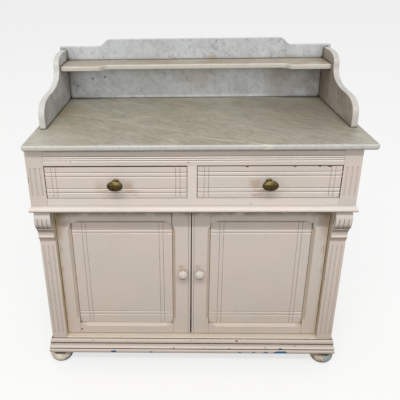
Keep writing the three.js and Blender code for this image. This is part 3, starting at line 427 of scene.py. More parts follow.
class Sheet:
    """One material's node tree, whose colour grows as coats are laid over each other."""

    def __init__(self, name: str, base: str) -> None:
        """Starts a material.

        Args:
            name: The material's name.
            base: The code of its lowest colour.
        """
        self.material = bpy.data.materials.new(name)
        self.material.use_nodes = True
        self.tree = self.material.node_tree
        self.shader = self.tree.nodes["Principled BSDF"]
        self.coordinates = self.tree.nodes.new("ShaderNodeTexCoord").outputs["Object"]
        self.tone: object = linear(base)

    def join(self, value: object, socket: NodeSocket) -> None:
        """Links a socket to another, or writes a plain value into it.

        Args:
            value: A socket or a value.
            socket: The input that takes it.
        """
        if isinstance(value, NodeSocket):
            self.tree.links.new(value, socket)
        else:
            socket.default_value = value

    def compute(self, operation: str, *parts: object) -> NodeSocket:
        """One step of arithmetic.

        Args:
            operation: The step's name, such as MULTIPLY.
            parts: The numbers or sockets that it takes.

        Returns:
            The result.
        """
        node = self.tree.nodes.new("ShaderNodeMath")
        node.operation = operation
        for part, socket in zip(parts, node.inputs):
            self.join(part, socket)
        return node.outputs[0]

    def blend(self, share: object, below: object, above: object) -> NodeSocket:
        """Lays one colour over another.

        Args:
            share: How much of the upper colour shows.
            below: The lower colour.
            above: The upper colour.

        Returns:
            The mixed colour.
        """
        node = self.tree.nodes.new("ShaderNodeMix")
        node.data_type = "RGBA"
        for name, value in (("Factor_Float", share), ("A_Color", below), ("B_Color", above)):
            self.join(value, next(item for item in node.inputs if item.identifier == name))
        return next(item for item in node.outputs if item.identifier == "Result_Color")

    def coat(self, colour: object, share: object, *more: object) -> None:
        """Lays a coat over the material's colour.

        Args:
            colour: The coat's code, or a socket.
            share: How much of it shows.
            more: Further shares, which the first is multiplied by.
        """
        for factor in more:
            share = self.compute("MULTIPLY", share, factor)
        self.tone = self.blend(share, self.tone, linear(colour) if isinstance(colour, str) else colour)

    def mapped(
        self, scale: Sequence[float], turned: Point3 = (0, 0, 0), middle: Point3 = (0, 0, 0)
    ) -> NodeSocket:
        """Object coordinates about a middle, turned and then stretched.

        Args:
            scale: How many times finer the pattern gets along each axis.
            turned: The pattern's turn about X, Y and Z.
            middle: Where the new coordinates are zero.

        Returns:
            The mapped coordinates.
        """
        node = self.tree.nodes.new("ShaderNodeMapping")
        node.vector_type = "TEXTURE"
        node.inputs["Location"].default_value = middle
        node.inputs["Rotation"].default_value = turned
        node.inputs["Scale"].default_value = [1 / part for part in scale]
        self.join(self.coordinates, node.inputs["Vector"])
        return node.outputs["Vector"]

    def noise(
        self, scale: float, detail: float = 3, twist: float = 0, where: NodeSocket | None = None
    ) -> NodeSocket:
        """Cloudy noise around 0.5.

        Args:
            scale: How many clouds a metre holds.
            detail: How many finer layers are added.
            twist: How far the pattern is pulled about.
            where: The coordinates, if not the object's own.

        Returns:
            The noise's value.
        """
        node = self.tree.nodes.new("ShaderNodeTexNoise")
        self.join(where or self.coordinates, node.inputs["Vector"])
        for name, value in (("Scale", scale), ("Detail", detail), ("Distortion", twist)):
            node.inputs[name].default_value = value
        return node.outputs["Fac"]

    def level(self, value: NodeSocket, low: float, high: float) -> NodeSocket:
        """A smooth step of a value.

        Args:
            value: What is measured.
            low: Where the step is 0.
            high: Where it is 1, which may lie under low.

        Returns:
            A number from 0 to 1.
        """
        node = self.tree.nodes.new("ShaderNodeMapRange")
        node.interpolation_type = "SMOOTHSTEP"
        swapped = low > high
        settings = (value, min(low, high), max(low, high), float(swapped), float(not swapped))
        for setting, socket in zip(settings, node.inputs):
            self.join(setting, socket)
        return node.outputs["Result"]

    def cloud(self, scale: float, detail: float, low: float, high: float, **more: object) -> NodeSocket:
        """A smooth step of a noise: its scale and detail, the step's ends, and what else noise takes."""
        return self.level(self.noise(scale, detail, **more), low, high)

    def specks(
        self, colour: str, scale: float, clean: float, low: float, high: float, share: float
    ) -> None:
        """Scatters small dots.

        Args:
            colour: The dots' code.
            scale: How many cells a metre holds.
            clean: The share of cells that stay clean.
            low: The distance from a cell's point where a dot ends, in cells.
            high: The distance where it is full.
            share: How much of the dots' colour shows.
        """
        node = self.tree.nodes.new("ShaderNodeTexVoronoi")
        self.join(self.coordinates, node.inputs["Vector"])
        node.inputs["Scale"].default_value = scale
        rare = self.level(self.axes(node.outputs["Color"])[0], clean, clean + 0.02)
        self.coat(colour, rare, self.level(node.outputs["Distance"], low, high), share)

    def axes(self, where: NodeSocket) -> list[NodeSocket]:
        """The three numbers of a set of coordinates.

        Args:
            where: The coordinates.

        Returns:
            X, Y and Z.
        """
        node = self.tree.nodes.new("ShaderNodeSeparateXYZ")
        self.join(where, node.inputs[0])
        return list(node.outputs)

    def facing(self, axis: Axis) -> NodeSocket:
        """How far the surface faces along an axis, from -1 to 1."""
        geometry = self.tree.nodes.new("ShaderNodeNewGeometry")
        return self.axes(geometry.outputs["Normal"])[list(Axis).index(axis)]

    def sheltered(self, reach: float, open_at: float = 0.8, shut_at: float = 0.35) -> NodeSocket:
        """How deep a point lies in a corner, groove or joint.

        Args:
            reach: How far walls are looked for.
            open_at: The openness at which nothing is sheltered.
            shut_at: The openness at which all is.

        Returns:
            A number from 0 to 1.
        """
        node = self.tree.nodes.new("ShaderNodeAmbientOcclusion")
        node.samples = 8
        node.inputs["Distance"].default_value = reach
        return self.level(node.outputs["AO"], open_at, shut_at)

    def near(self, place: Vector, radius: float, ragged: float, soft: float) -> NodeSocket:
        """A ragged spot about a place.

        Args:
            place: The spot's middle.
            radius: Its size.
            ragged: How far its edge wanders, as a share of the radius.
            soft: How wide its edge is, as a share of the radius.

        Returns:
            1 inside the spot, 0 outside.
        """
        node = self.tree.nodes.new("ShaderNodeVectorMath")
        node.operation = "DISTANCE"
        self.join(self.coordinates, node.inputs[0])
        node.inputs[1].default_value = place
        wander = self.compute("SUBTRACT", self.noise(1.5 / radius), 0.5)
        reach = self.compute("MULTIPLY_ADD", wander, 2 * ragged * radius, node.outputs["Value"])
        return self.level(reach, radius, (1 - soft) * radius)

    def stroke(self, middle: Vector, turned: float, length: float, width: float) -> NodeSocket:
        """A thin wandering stroke on a level face.

        Args:
            middle: The stroke's middle.
            turned: Its turn about Z.
            length: How long it is.
            width: How wide it is.

        Returns:
            1 on the stroke, 0 beside it.
        """
        along, beside, _ = self.axes(self.mapped((1, 1, 1), (0, 0, turned), middle))
        wander = self.compute("MULTIPLY_ADD", self.noise(14, 4), 0.03, -0.015)
        off = self.compute("ABSOLUTE", self.compute("ADD", beside, wander))
        reach = self.level(self.compute("ABSOLUTE", along), length / 2, length / 3)
        line = self.compute("MULTIPLY", self.level(off, width, 0.0), reach)
        return self.compute("MULTIPLY", line, self.cloud(45, 3, 0.3, 0.5))

    def bump(self, height: NodeSocket, distance: float) -> None:
        """Raises the surface by a height.

        Args:
            height: The relief, about 0 to 1.
            distance: How high 1 is.
        """
        node = self.tree.nodes.new("ShaderNodeBump")
        node.inputs["Distance"].default_value = distance
        before = self.shader.inputs["Normal"]
        if before.is_linked:
            self.join(before.links[0].from_socket, node.inputs["Normal"])
        self.join(height, node.inputs["Height"])
        self.join(node.outputs["Normal"], before)

    def finish(self, roughness: object, **plain: float) -> Material:
        """Gives the shader its inputs.

        Args:
            roughness: The roughness.
            plain: Further shader inputs, with _ for a space, as plain numbers.

        Returns:
            The finished material.
        """
        self.join(self.tone, self.shader.inputs["Base Color"])
        self.join(roughness, self.shader.inputs["Roughness"])
        for name, value in plain.items():
            self.shader.inputs[name.replace("_", " ")].default_value = value
        return self.material


def across(grain: Axis, fine: float, long: float) -> Vector:
    """The scale of a pattern that is fine across the grain and long along it."""
    return Vector([long if part else fine for part in grain.value])


@dataclass(frozen=True)
class Finish:
    """What a surface shows. Its material is built once."""

    name: str

    def material(self) -> Material:
        """Finds this finish's material, or builds it."""
        return bpy.data.materials.get(self.name) or self.lay()

    def lay(self) -> Material:
        """Builds the material, in each kind of finish in its own way."""
        raise NotImplementedError


@dataclass(frozen=True)
class PaintFinish(Finish):
    """Old cream paint, brushed along the grain, with grime and painted shade in its corners and joints,
    painted shade below, a painted highlight on faces that look up, and a few chips.
    """

    grain: Axis = Axis.X
    colour: str = "d3c8c0"
    warm: str = "d7c6be"
    cool: str = "cac6be"
    film: str = "a99885"
    speck: str = "54402f"
    dust: str = "4a3a2a"
    wash: str = "8d7659"
    bright: str = "f3ebe1"
    shade: str = "5f4c39"
    grime: str = "46372a"
    wood: str = "6f4f32"
    crown: float = 0.0
    crown_fade: float = 0.025
    soffit: float = 0.7
    lit: float = 0.08
    worn: float = 0.0
    roughness: float = 0.5
    brush: float = 0.0002
    spots: tuple[Spot, ...] = ()

    def lay(self) -> Material:
        """Builds the paint, coat by coat."""
        sheet = Sheet(self.name, self.colour)
        sheet.coat(sheet.blend(sheet.cloud(9, 2, 0.3, 0.7), linear(self.warm), linear(self.cool)), 0.6)
        brushed = sheet.noise(1, 3, where=sheet.mapped(across(self.grain, 420, 9)))
        streak = sheet.level(brushed, 0.25, 0.8)
        height = sheet.axes(sheet.coordinates)[2]
        sheet.coat(self.film, streak, 0.07)
        sheet.coat(self.film, sheet.cloud(170, 3, 0.35, 0.7), 0.07)
        sheet.coat(self.film, sheet.cloud(3.1, 5, 0.45, 0.72), 0.14)
        # Darker towards the floor: a film of dirt that also stands for painted shade where the light falls
        # off lower down.
        sheet.coat(self.film, sheet.level(height, 0.62, 0.02), 0.42)
        sheet.specks(self.speck, 17, 0.7, 0.034, 0.016, 0.8)
        for place, radius, colour, share in self.spots:
            sheet.coat(colour, sheet.near(place, radius, 0.6, 0.8 if share < 0.6 else 0.3), share)
        # A band of painted shade, with a little dust, just below a board that overhangs: the waist board's
        # shadow on the doors and the marble's on the frieze.
        if self.crown:
            below = sheet.level(height, self.crown - self.crown_fade, self.crown)
            above = sheet.level(height, self.crown + 0.014, self.crown + 0.006)
            sheet.coat(self.dust, below, above, sheet.cloud(30, 4, 0.1, 0.6), 0.75)
        up = sheet.facing(Axis.Z)
        washed = sheet.level(up, 0.7, 0.12)
        # Corners, flutes and joints take a brown wash that is partly grime and partly painted shade.
        sheet.coat(self.wash, sheet.sheltered(0.014, 0.87, 0.45), 0.4, washed)
        # Faces that look up take a painted highlight, as much as lit says.
        sheet.coat(self.bright, sheet.level(up, 0.12, 0.45), self.lit)
        # Faces that look down take painted shade, as much as soffit says.
        sheet.coat(self.shade, sheet.level(up, -0.1, -0.65), self.soffit)
        # Tight joints and grooves take dark grime that also stands for their painted shade.
        sheet.coat(self.grime, sheet.sheltered(0.006, 0.85, 0.4), washed, sheet.cloud(60, 4, 0.15, 0.5))
        if self.worn:
            broken = sheet.cloud(85, 4, 0.64 - 0.1 * self.worn, 0.67 - 0.1 * self.worn)
            sheet.coat(self.wood, broken, sheet.cloud(11, 2, 0.5, 0.62))
        sheet.bump(brushed, self.brush)
        sheet.bump(sheet.noise(35), 0.0006)
        rough = sheet.compute("MULTIPLY_ADD", streak, 0.12, self.roughness - 0.06)
        return sheet.finish(rough, Specular_IOR_Level=0.4)


@dataclass(frozen=True)
class GrimeFinish(Finish):
    """Dark grime in joints and in the gaps round doors and drawers, which also stands for the painted shade
    in them.
    """

    name: str = "joint_grime"
    dark: str = "211811"
    brown: str = "4a3726"

    def lay(self) -> Material:
        """Builds the grime."""
        sheet = Sheet(self.name, self.dark)
        sheet.coat(self.brown, sheet.cloud(45, 4, 0.42, 0.7))
        sheet.bump(sheet.noise(300, 2), 0.0002)
        return sheet.finish(0.85, Specular_IOR_Level=0.15)


@dataclass(frozen=True)
class MarbleFinish(Finish):
    """Grey-white veined marble, worn on its faces and paler along its polished edges, partly as a painted
    highlight.
    """

    face: str = "b7b6ae"
    edge: str = "c9c8c4"
    shade: str = "8f9290"
    light: str = "cfccc0"
    clean: str = "eef1f3"
    vein: str = "5f676c"
    stain: str = "8d7f66"
    soil: str = "3a332a"
    speck: str = "4d5052"
    dust: str = "7d6e58"
    dirt: str = "241d16"
    stained: float = 0.25
    clouded: float = 0.4
    streaked: float = 0.4
    lit: float = 0.25
    turned: Point3 = (0.0, 0.0, 0.0)
    drawn_out: Vector = Vector((2.2, 14.0, 9.0))
    dark_veins: float = 0.6
    vein_scale: float = 1.7
    flat: Axis | None = None
    edge_share: float = 0.8
    soiled: float = 0.8
    paler_below: float = 0.0
    spots: tuple[Spot, ...] = ()
    strokes: tuple[tuple[Vector, float, float, float, str, float], ...] = ()

    def lay(self) -> Material:
        """Builds the marble."""
        sheet = Sheet(self.name, self.face)
        flow = sheet.mapped(self.drawn_out, self.turned)
        cloud = sheet.cloud(8, 7, 0.36, 0.66, twist=0.8)
        sheet.coat(self.shade, cloud, self.clouded)
        # Below a given height the marble is made paler: painted light in the shelf's shade.
        if self.paler_below:
            height = sheet.axes(sheet.coordinates)[2]
            sheet.coat(self.clean, sheet.level(height, self.paler_below, self.paler_below - 0.03), 0.62)
        sheet.coat(self.light, sheet.cloud(1.9, 6, 0.5, 0.75, twist=0.8, where=flow), self.lit)
        sheet.coat(self.shade, sheet.cloud(3.2, 8, 0.46, 0.7, twist=0.6, where=flow), self.streaked)
        sheet.coat(self.vein, sheet.cloud(13, 8, 0.46, 0.66, twist=0.3, where=flow), 0.8 * self.streaked)
        sheet.coat(self.vein, sheet.cloud(210, 3, 0.4, 0.75), 0.16)
        sheet.coat(self.stain, sheet.cloud(4.3, 4, 0.45, 0.7), self.stained)
        for scale, width, share in ((1.0, 0.012, 1.0), (2.3, 0.017, 0.8), (4.6, 0.022, 0.5)):
            ridge = sheet.noise(self.vein_scale * scale, 7, 0.4, flow)
            line = sheet.level(sheet.compute("ABSOLUTE", sheet.compute("SUBTRACT", ridge, 0.5)), width, 0.0)
            sheet.coat(self.vein, line, sheet.cloud(9, 3, 0.44, 0.6), share * self.dark_veins)
        # Edges are paler: polish, and partly a painted highlight.
        if self.flat:
            straight = sheet.compute("ABSOLUTE", sheet.facing(self.flat))
            sheet.coat(self.edge, sheet.level(straight, 0.97, 0.8), self.edge_share)
        # Faces that look down darken: painted shade, with a little soil.
        sheet.coat(self.soil, sheet.level(sheet.facing(Axis.Z), -0.25, -0.75), self.soiled)
        for *stroke, colour, share in self.strokes:
            sheet.coat(colour, sheet.stroke(*stroke), share)
        for place, radius, colour, share in self.spots:
            sheet.coat(colour, sheet.near(place, radius, 0.7, 0.3 if share > 0.6 else 0.9), share)
        sheet.specks(self.speck, 30, 0.8, 0.06, 0.03, 0.7)
        # Near walls the marble darkens: dust and painted shade.
        sheet.coat(self.dust, sheet.sheltered(0.02, 0.9, 0.5), 0.3)
        sheet.coat(self.dirt, sheet.sheltered(0.010, 0.74, 0.52), 0.95)
        sheet.bump(sheet.noise(14, 4), 0.0009)
        sheet.bump(sheet.noise(260, 2), 0.00012)
        return sheet.finish(sheet.compute("MULTIPLY_ADD", cloud, 0.15, 0.36), Specular_IOR_Level=0.45)


@dataclass(frozen=True)
class PineFinish(Finish):
    """Bare pine gone brown with age, with its grain along the board."""

    grain: Axis = Axis.X
    early: str = "b88d5c"
    late: str = "8a5f37"
    aged: str = "7c5c3c"
    dirt: str = "3a2a1c"

    def lay(self) -> Material:
        """Builds the bare wood."""
        sheet = Sheet(self.name, self.early)
        rings = sheet.noise(26, 1, 0.4, sheet.mapped(across(self.grain, 1.0, 0.06)))
        bands = sheet.compute("FRACT", sheet.compute("MULTIPLY", rings, 14.0))
        late = sheet.level(sheet.compute("ABSOLUTE", sheet.compute("SUBTRACT", bands, 0.5)), 0.16, 0.46)
        fibre = sheet.noise(1, 2, where=sheet.mapped(across(self.grain, 900, 20)))
        sheet.coat(self.late, late, 0.55)
        sheet.coat(self.late, fibre, 0.25)
        sheet.coat(self.aged, sheet.cloud(5, 4, 0.35, 0.75), 0.45)
        sheet.coat(self.dirt, sheet.sheltered(0.012), 0.6)
        sheet.bump(fibre, 0.0003)
        sheet.bump(late, 0.0002)
        return sheet.finish(0.72, Specular_IOR_Level=0.25)


@dataclass(frozen=True)
class VarnishFinish(Finish):
    """The old ochre coat that shows where a door rubs along its pilaster."""

    ochre: str
    brown: str
    cream: str
    soil: str = "4a3722"
    dirt: float = 0.0

    def lay(self) -> Material:
        """Builds the ochre coat."""
        sheet = Sheet(self.name, self.ochre)
        drips = sheet.noise(1, 4, where=sheet.mapped((160, 160, 7)))
        sheet.coat(self.brown, sheet.level(drips, 0.3, 0.75))
        sheet.coat(self.cream, sheet.cloud(24, 4, 0.56, 0.66), 0.7)
        # Corners darken, with soil and painted shade.
        if self.dirt:
            sheet.coat(self.soil, sheet.sheltered(0.006), self.dirt)
        sheet.bump(drips, 0.0004)
        return sheet.finish(0.5)


@dataclass(frozen=True)
class FootFinish(Finish):
    """A foot's cream paint, rubbed through to an older blue coat along its rim and to brown elsewhere, with
    painted shade under the plinth.
    """

    middle: Vector
    cream: str = "d9cdbe"
    tan: str = "a8967f"
    blue: str = "2f648c"
    pale_blue: str = "8b9a9c"
    brown: str = "8f7b5c"
    shade: str = "3a2c20"
    dirt: str = "241b13"
    brown_share: float = 0.15
    pale_share: float = 0.0
    rim: float = 0.0175

    def lay(self) -> Material:
        """Builds the foot's coats."""
        sheet = Sheet(self.name, self.cream)
        sideways, _, height = sheet.axes(sheet.coordinates)
        x = sheet.compute("SUBTRACT", sideways, self.middle.x)
        z = sheet.compute("SUBTRACT", height, self.middle.z)
        wander = sheet.compute("MULTIPLY_ADD", sheet.noise(70, 4), 0.03, -0.015)
        sheet.coat(self.tan, sheet.cloud(60, 5, 0.4, 0.65), 0.4)
        sheet.coat(self.brown, sheet.cloud(45, 5, 0.62 - 0.4 * self.brown_share, 0.68, twist=0.5), 0.85)
        beside = sheet.compute("ADD", sheet.compute("ABSOLUTE", sheet.compute("SUBTRACT", x, 0.012)), wander)
        sheet.coat(self.pale_blue, sheet.level(beside, 0.017, 0.011), self.pale_share)
        slant = sheet.compute("SUBTRACT", sheet.compute("MULTIPLY", x, 0.5), z)
        low = sheet.compute("MULTIPLY_ADD", wander, 0.5, slant)
        sheet.coat(self.blue, sheet.level(low, self.rim, self.rim + 0.002))
        # A dark band round the top and a darkening in hollows: painted shade under the plinth.
        sheet.coat(self.shade, sheet.level(sheet.compute("MULTIPLY_ADD", wander, 0.3, z), 0.012, 0.018), 0.9)
        sheet.coat(self.dirt, sheet.sheltered(0.03))
        sheet.bump(sheet.noise(90, 4), 0.0008)
        return sheet.finish(0.5)


@dataclass(frozen=True)
class BlueCoat(Finish):
    """An older coat of blue under the cream."""

    name: str = "blue_undercoat"
    blue: str = "34739f"
    deep: str = "265a82"

    def lay(self) -> Material:
        """Builds the blue coat."""
        sheet = Sheet(self.name, self.blue)
        cloud = sheet.cloud(150, 4, 0.3, 0.7)
        sheet.coat(self.deep, cloud)
        sheet.bump(cloud, 0.0002)
        return sheet.finish(0.5)


@dataclass(frozen=True)
class BrassFinish(Finish):
    """Brass gone olive and dark, bright where hands have rubbed it."""

    name: str = "aged_brass_knob"
    bright: str = "6b5c38"
    dark: str = "2a2212"
    dirt: str = "1d170c"

    def lay(self) -> Material:
        """Builds the brass."""
        sheet = Sheet(self.name, self.bright)
        cloud = sheet.cloud(110, 5, 0.35, 0.72)
        sheet.coat(self.dark, cloud, 0.6)
        sheet.coat(self.dirt, sheet.sheltered(0.008, 0.85, 0.4))
        sheet.bump(sheet.noise(240), 0.0003)
        return sheet.finish(sheet.compute("MULTIPLY_ADD", cloud, 0.2, 0.24), Metallic=0.92)


@dataclass(frozen=True)
class SteelFinish(Finish):
    """Dull steel with a little rust."""

    name: str = "pin_steel"
    steel: str = "77736c"
    rust: str = "5f3d27"

    def lay(self) -> Material:
        """Builds the steel."""
        sheet = Sheet(self.name, self.steel)
        rusted = sheet.cloud(300, 5, 0.5, 0.66)
        sheet.coat(self.rust, rusted)
        sheet.bump(rusted, 0.0001)
        return sheet.finish(sheet.compute("MULTIPLY_ADD", rusted, 0.35, 0.4), Metallic=0.8)


def by_grain(kind: type[Finish], name: str, **looks: object) -> dict[Axis, Finish]:
    """One finish for each way that the grain may run."""
    return {axis: kind(f"{name}_{axis.name.lower()}", axis, **looks) for axis in Axis}


# How high the painted shade under the waist board is darkest on the doors.
WAIST_SHADE = 0.598
PAINT = by_grain(PaintFinish, "cream_paint")
WORN = by_grain(PaintFinish, "worn_cream", worn=0.35)
# The doors' paint, with the painted shade under the waist board.
DOOR_PAINT = by_grain(PaintFinish, "door_paint", crown=WAIST_SHADE)
# The plinth's mouldings take more painted highlight on faces that look up.
PLINTH_PAINT = by_grain(PaintFinish, "plinth_paint", lit=0.24)
RAIL_PAINT = by_grain(PaintFinish, "rail_paint", colour="ddd3cb", warm="e1d2ca", cool="d6d2cb")
# The ledge is paler and takes more painted highlight on its top, with a few dark specks.
LEDGE_PAINT = PaintFinish(
    "ledge_paint", Axis.X, colour="dfd3c3", warm="e1cfb9", cool="d8cebf", lit=0.16,
    spots=tuple((Vector((x, y, 0.12)), 0.002, "5a4632", 0.8) for x, y in (
        (0.0409, -0.2146), (-0.2467, -0.2170), (-0.1014, -0.2102), (-0.3151, -0.2049),
    )),
)
# The frieze darkens just under the marble: painted shade of the slab, with a little dust.
FRIEZE_PAINT = PaintFinish("frieze_paint", Axis.X, crown=0.8195, crown_fade=0.006)
# A paler copy of the cream for the lower lips of cut lines: a painted highlight.
LIP_PAINT = PaintFinish("bright_lip", Axis.X, colour="f2e9df", warm="f4e8dd", cool="eee9e0")
# The top rail's chamfer looks down, and takes less of that painted shade.
SOFFIT_PAINT = PaintFinish("soffit_chamfer", Axis.X, soffit=0.25)
# Darker copies of the cream for the chamfers, by the way each faces: painted shade.
SHADED_PAINT = PaintFinish("shaded_chamfer", Axis.Z, colour="bdac9b", warm="c0aa96", cool="b4ac9f")
TONED_PAINT = PaintFinish("toned_chamfer", Axis.Z, colour="cabbad", warm="ceb9a8", cool="c0b9ae")
# Lit and shaded copies of the ochre coat: a painted highlight on the doors' rounded hinge corners, and
# painted shade on the pilasters' inner faces, duller on the right.
LIT_OCHRE = VarnishFinish("lit_ochre_coat", ochre="efe2c8", brown="dcc7a0", cream="efe6d8")
SHADED_OCHRE = {
    side: VarnishFinish(f"shaded_ochre_{side.label}", *codes, dirt=0.15)
    for side, codes in zip(Side, (("d4c4a2", "b59e78", "dacfbb"), ("c4b498", "a39076", "d0c5b4")))
}
GRIME_AND_SHADE = GrimeFinish()
QUIRK_GRIME_AND_SHADE = GrimeFinish("quirk_grime", dark="3f2f20", brown="6a5139")
BRUISED_WOOD = GrimeFinish("bruised_wood", dark="6f5234", brown="a5845a")
CHIPPED_EDGE = GrimeFinish("chipped_edge", dark="5b422c", brown="8a6a48")
RED_BROWN_CHIP = GrimeFinish("red_brown_chip", dark="6b3f26", brown="4c2f1e")
BARE = by_grain(PineFinish, "bare_pine")


def dress(piece: Object, *finishes: Finish) -> Object:
    """Gives a piece its finishes, the first one for its faces.

    Args:
        piece: The object to dress.
        finishes: One finish for each slot.

    Returns:
        The same object.
    """
    piece.data.materials.clear()
    for finish in finishes:
        piece.data.materials.append(finish.material())
    return piece


def painted(piece: Object, grain: Axis, paint: Finish | None = None) -> Object:
    """Paints a piece, with worn paint where its edges are eased.

    Args:
        piece: The object to paint.
        grain: The way of its grain.
        paint: Its paint, if not the usual cream.

    Returns:
        The same object.
    """
    return dress(piece, paint or PAINT[grain], WORN[grain])


def ease(
    piece: Object,
    radius: float,
    wanted: Wanted = lambda middle, along: True,
    segments: int = 3,
    slot: int = 1,
) -> Object:
    """Rounds a piece's sharp edges.

    Args:
        piece: The object to ease.
        radius: How far each edge is taken down.
        wanted: Says which edges are eased.
        segments: How many facets the round has.
        slot: The slot of the new faces.

    Returns:
        The same object.
    """
    with editing(piece):
        choose_edges(piece, wanted, SMOOTH_ANGLE)
        bpy.ops.mesh.bevel(
            offset=radius, segments=segments, affect="EDGES", clamp_overlap=False, material=slot
        )
    return piece


def bare(piece: Object, finish: Finish, wanted: Wanted, over: int | None = None) -> None:
    """Gives some of a piece's faces another finish.

    Args:
        piece: The object.
        finish: What those faces show.
        wanted: Says yes or no to a face's middle and normal.
        over: The slot whose faces alone may change, if not all.
    """
    if piece.data.materials.find(finish.name) < 0:
        piece.data.materials.append(finish.material())
    place = piece.data.materials.find(finish.name)
    for face in piece.data.polygons:
        if over in (None, face.material_index) and wanted(face.center, face.normal):
            face.material_index = place


def bare_back(piece: Object, grain: Axis) -> None:
    """Leaves a board's back without paint.

    Args:
        piece: The board.
        grain: The way of its grain.
    """
    bare(piece, BARE[grain], lambda middle, normal: normal.y > SQUARE)


def split(piece: Object, depth: float) -> None:
    """Divides a board's faces along an upright plane that is square to its thickness.

    Args:
        piece: The board.
        depth: Where the plane is, in Y.
    """
    with editing(piece, whole=True):
        bpy.ops.mesh.bisect(plane_co=(0, depth, 0), plane_no=Axis.Y.vector)


def soil_edges(piece: Object, face: float, wanted: Wanted, reach: float = 0.008) -> None:
    """Soils the front few millimetres of a board's edges, which line a gap, with grime that also stands for
    the gap's painted shade.

    Args:
        piece: The board.
        face: Where its face is, in Y.
        wanted: Says yes or no to an edge face's middle and normal.
        reach: How deep the grime goes into the gap.
    """
    split(piece, face + reach)
    bare(piece, GRIME_AND_SHADE, lambda middle, normal: (
        middle.y < face + reach and abs(normal.y) < 0.5 and wanted(middle, normal)
    ))


def block(name: str, box: Box) -> Object:
    """A plain block between two corners, as a start.

    Args:
        name: The new object's name.
        box: Its lowest and highest corner.

    Returns:
        The new object.
    """
    low, high = box
    bpy.ops.object.select_all(action="DESELECT")
    bpy.ops.mesh.primitive_cube_add(size=1, location=(low + high) / 2)
    piece = bpy.context.object
    piece.name = name
    piece.scale = high - low
    settle(piece)
    return piece


def plank(name: str, box: Box, grain: Axis, radius: float, paint: Finish | None = None) -> Object:
    """A painted board with eased edges.

    Args:
        name: The new object's name.
        box: Its lowest and highest corner.
        grain: The way of its length.
        radius: How far its edges are taken down.
        paint: Its paint, if not the usual cream.

    Returns:
        The new object.
    """
    return ease(painted(block(name, box), grain, paint), radius)


def smooth(piece: Object) -> None:
    """Smooths the rounds of a piece and keeps its flats flat.

    Args:
        piece: The object to finish.
    """
    pick_up(piece)
    bpy.ops.object.shade_smooth_by_angle(angle=SMOOTH_ANGLE)
    modifier = piece.modifiers.new("flats", "WEIGHTED_NORMAL")
    modifier.keep_sharp = True
    bpy.ops.object.modifier_apply(modifier=modifier.name)


def fit(piece: Object, body: Body, slot: Slot, *nodes: str) -> None:
    """Finishes a piece, and hands it to the body that carries it.

    Args:
        piece: The new piece.
        body: What it rides on.
        slot: The slot of its finish; not used.
        nodes: The frame's nodes that it stands for.
    """
    smooth(piece)
    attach(piece, body.value)
    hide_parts(*nodes)
    log.info("%s rides on %s, %d faces", piece.name, body.value, len(piece.data.polygons))


def keep(node: str, finish: Finish) -> None:
    """Keeps a node of the frame as it is, and gives it its finish.

    Args:
        node: The node's name.
        finish: What it shows.
    """
    dress(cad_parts[node], finish)
    log.info("%s keeps its shape", node)


@dataclass
class CutLine:
    """A scratched line: a thin core of grime and painted shade between straight lips, sunk into a face."""

    half_width: float = 0.0008
    depth: float = 0.0020
    shoulder: float = 0.0004
    shoulder_depth: float = 0.0003
    lip: float = 0.0023
    lip_depth: float = 0.0009
    stand: float = 0.001

    def section(self) -> list[Point2]:
        """The cutter's outline, as distance across and depth, with the wider lip on the low side."""
        low, high = self.half_width + self.lip, self.half_width + self.shoulder
        floor = 0.6 * self.half_width
        return [
            (-low, -self.stand), (-low, 0.0), (-self.half_width, self.lip_depth), (-floor, self.depth),
            (floor, self.depth), (self.half_width, self.shoulder_depth), (high, 0.0), (high, -self.stand),
        ]

    def soil(self, piece: Object, face: float) -> None:
        """Gives the lines' lower lips a painted highlight, and fills their cores with grime that also stands
        for their shade, in a face that looks to the front.

        Args:
            piece: The board with the lines.
            face: Where its face is, in Y.
        """
        bare(piece, LIP_PAINT, lambda middle, normal: 0.2 < normal.z < 0.7 and normal.y < -0.5
             and 0.0001 < middle.y - face < self.lip_depth, over=0)
        bare(piece, GRIME_AND_SHADE, lambda middle, normal: (
            0.95 * self.lip_depth < middle.y - face < self.depth + WELD
        ), over=0)

    def cutter(
        self, start: Vector, along: Axis, length: float,
        sink: Vector = Axis.Y.vector, finish: Finish | None = None,
    ) -> Object:
        """A cutter for one line.

        Args:
            start: The line's first point, on the face.
            along: The way it runs.
            length: How far it runs.
            sink: The way into the wood.
            finish: What the line's own faces show, if not the board's finish.

        Returns:
            The cutter.
        """
        sideways = along.vector.cross(sink)
        outline = [start + sideways * a + sink * d for a, d in self.section()]
        cutter = draw_out(trace("line", outline), along.vector * length)
        return dress(cutter, finish) if finish else cutter

    def cut(
        self, piece: Object, box: Box, along: Axis, places: Sequence[float], finish: Finish | None = None
    ) -> None:
        """Cuts lines right across a face that looks to the front.

        Args:
            piece: The board.
            box: Its lowest and highest corner.
            along: The way the lines run, X or Z.
            places: How high they lie, or where they stand in X.
            finish: What the lines' own faces show, if not the board's finish.
        """
        low, high = box
        if along is Axis.X:
            starts = [Vector((low.x - OVER, low.y, place)) for place in places]
            length = high.x - low.x + 2 * OVER
        else:
            starts = [Vector((place, low.y, low.z - OVER)) for place in places]
            length = high.z - low.z + 2 * OVER
        carve(piece, [self.cutter(start, along, length, finish=finish) for start in starts])


def pit(place: Vector, half: Vector, finish: Finish) -> Object:
    """A cutter for a small flake or dent.

    Args:
        place: The dent's middle.
        half: Its half sizes.
        finish: What shows in it.

    Returns:
        The cutter.
    """
    bpy.ops.object.select_all(action="DESELECT")
    bpy.ops.mesh.primitive_ico_sphere_add(subdivisions=3, radius=1, location=place)
    cutter = bpy.context.object
    cutter.scale = half
    cutter.rotation_euler = ASKEW
    settle(cutter)
    return dress(cutter, finish)


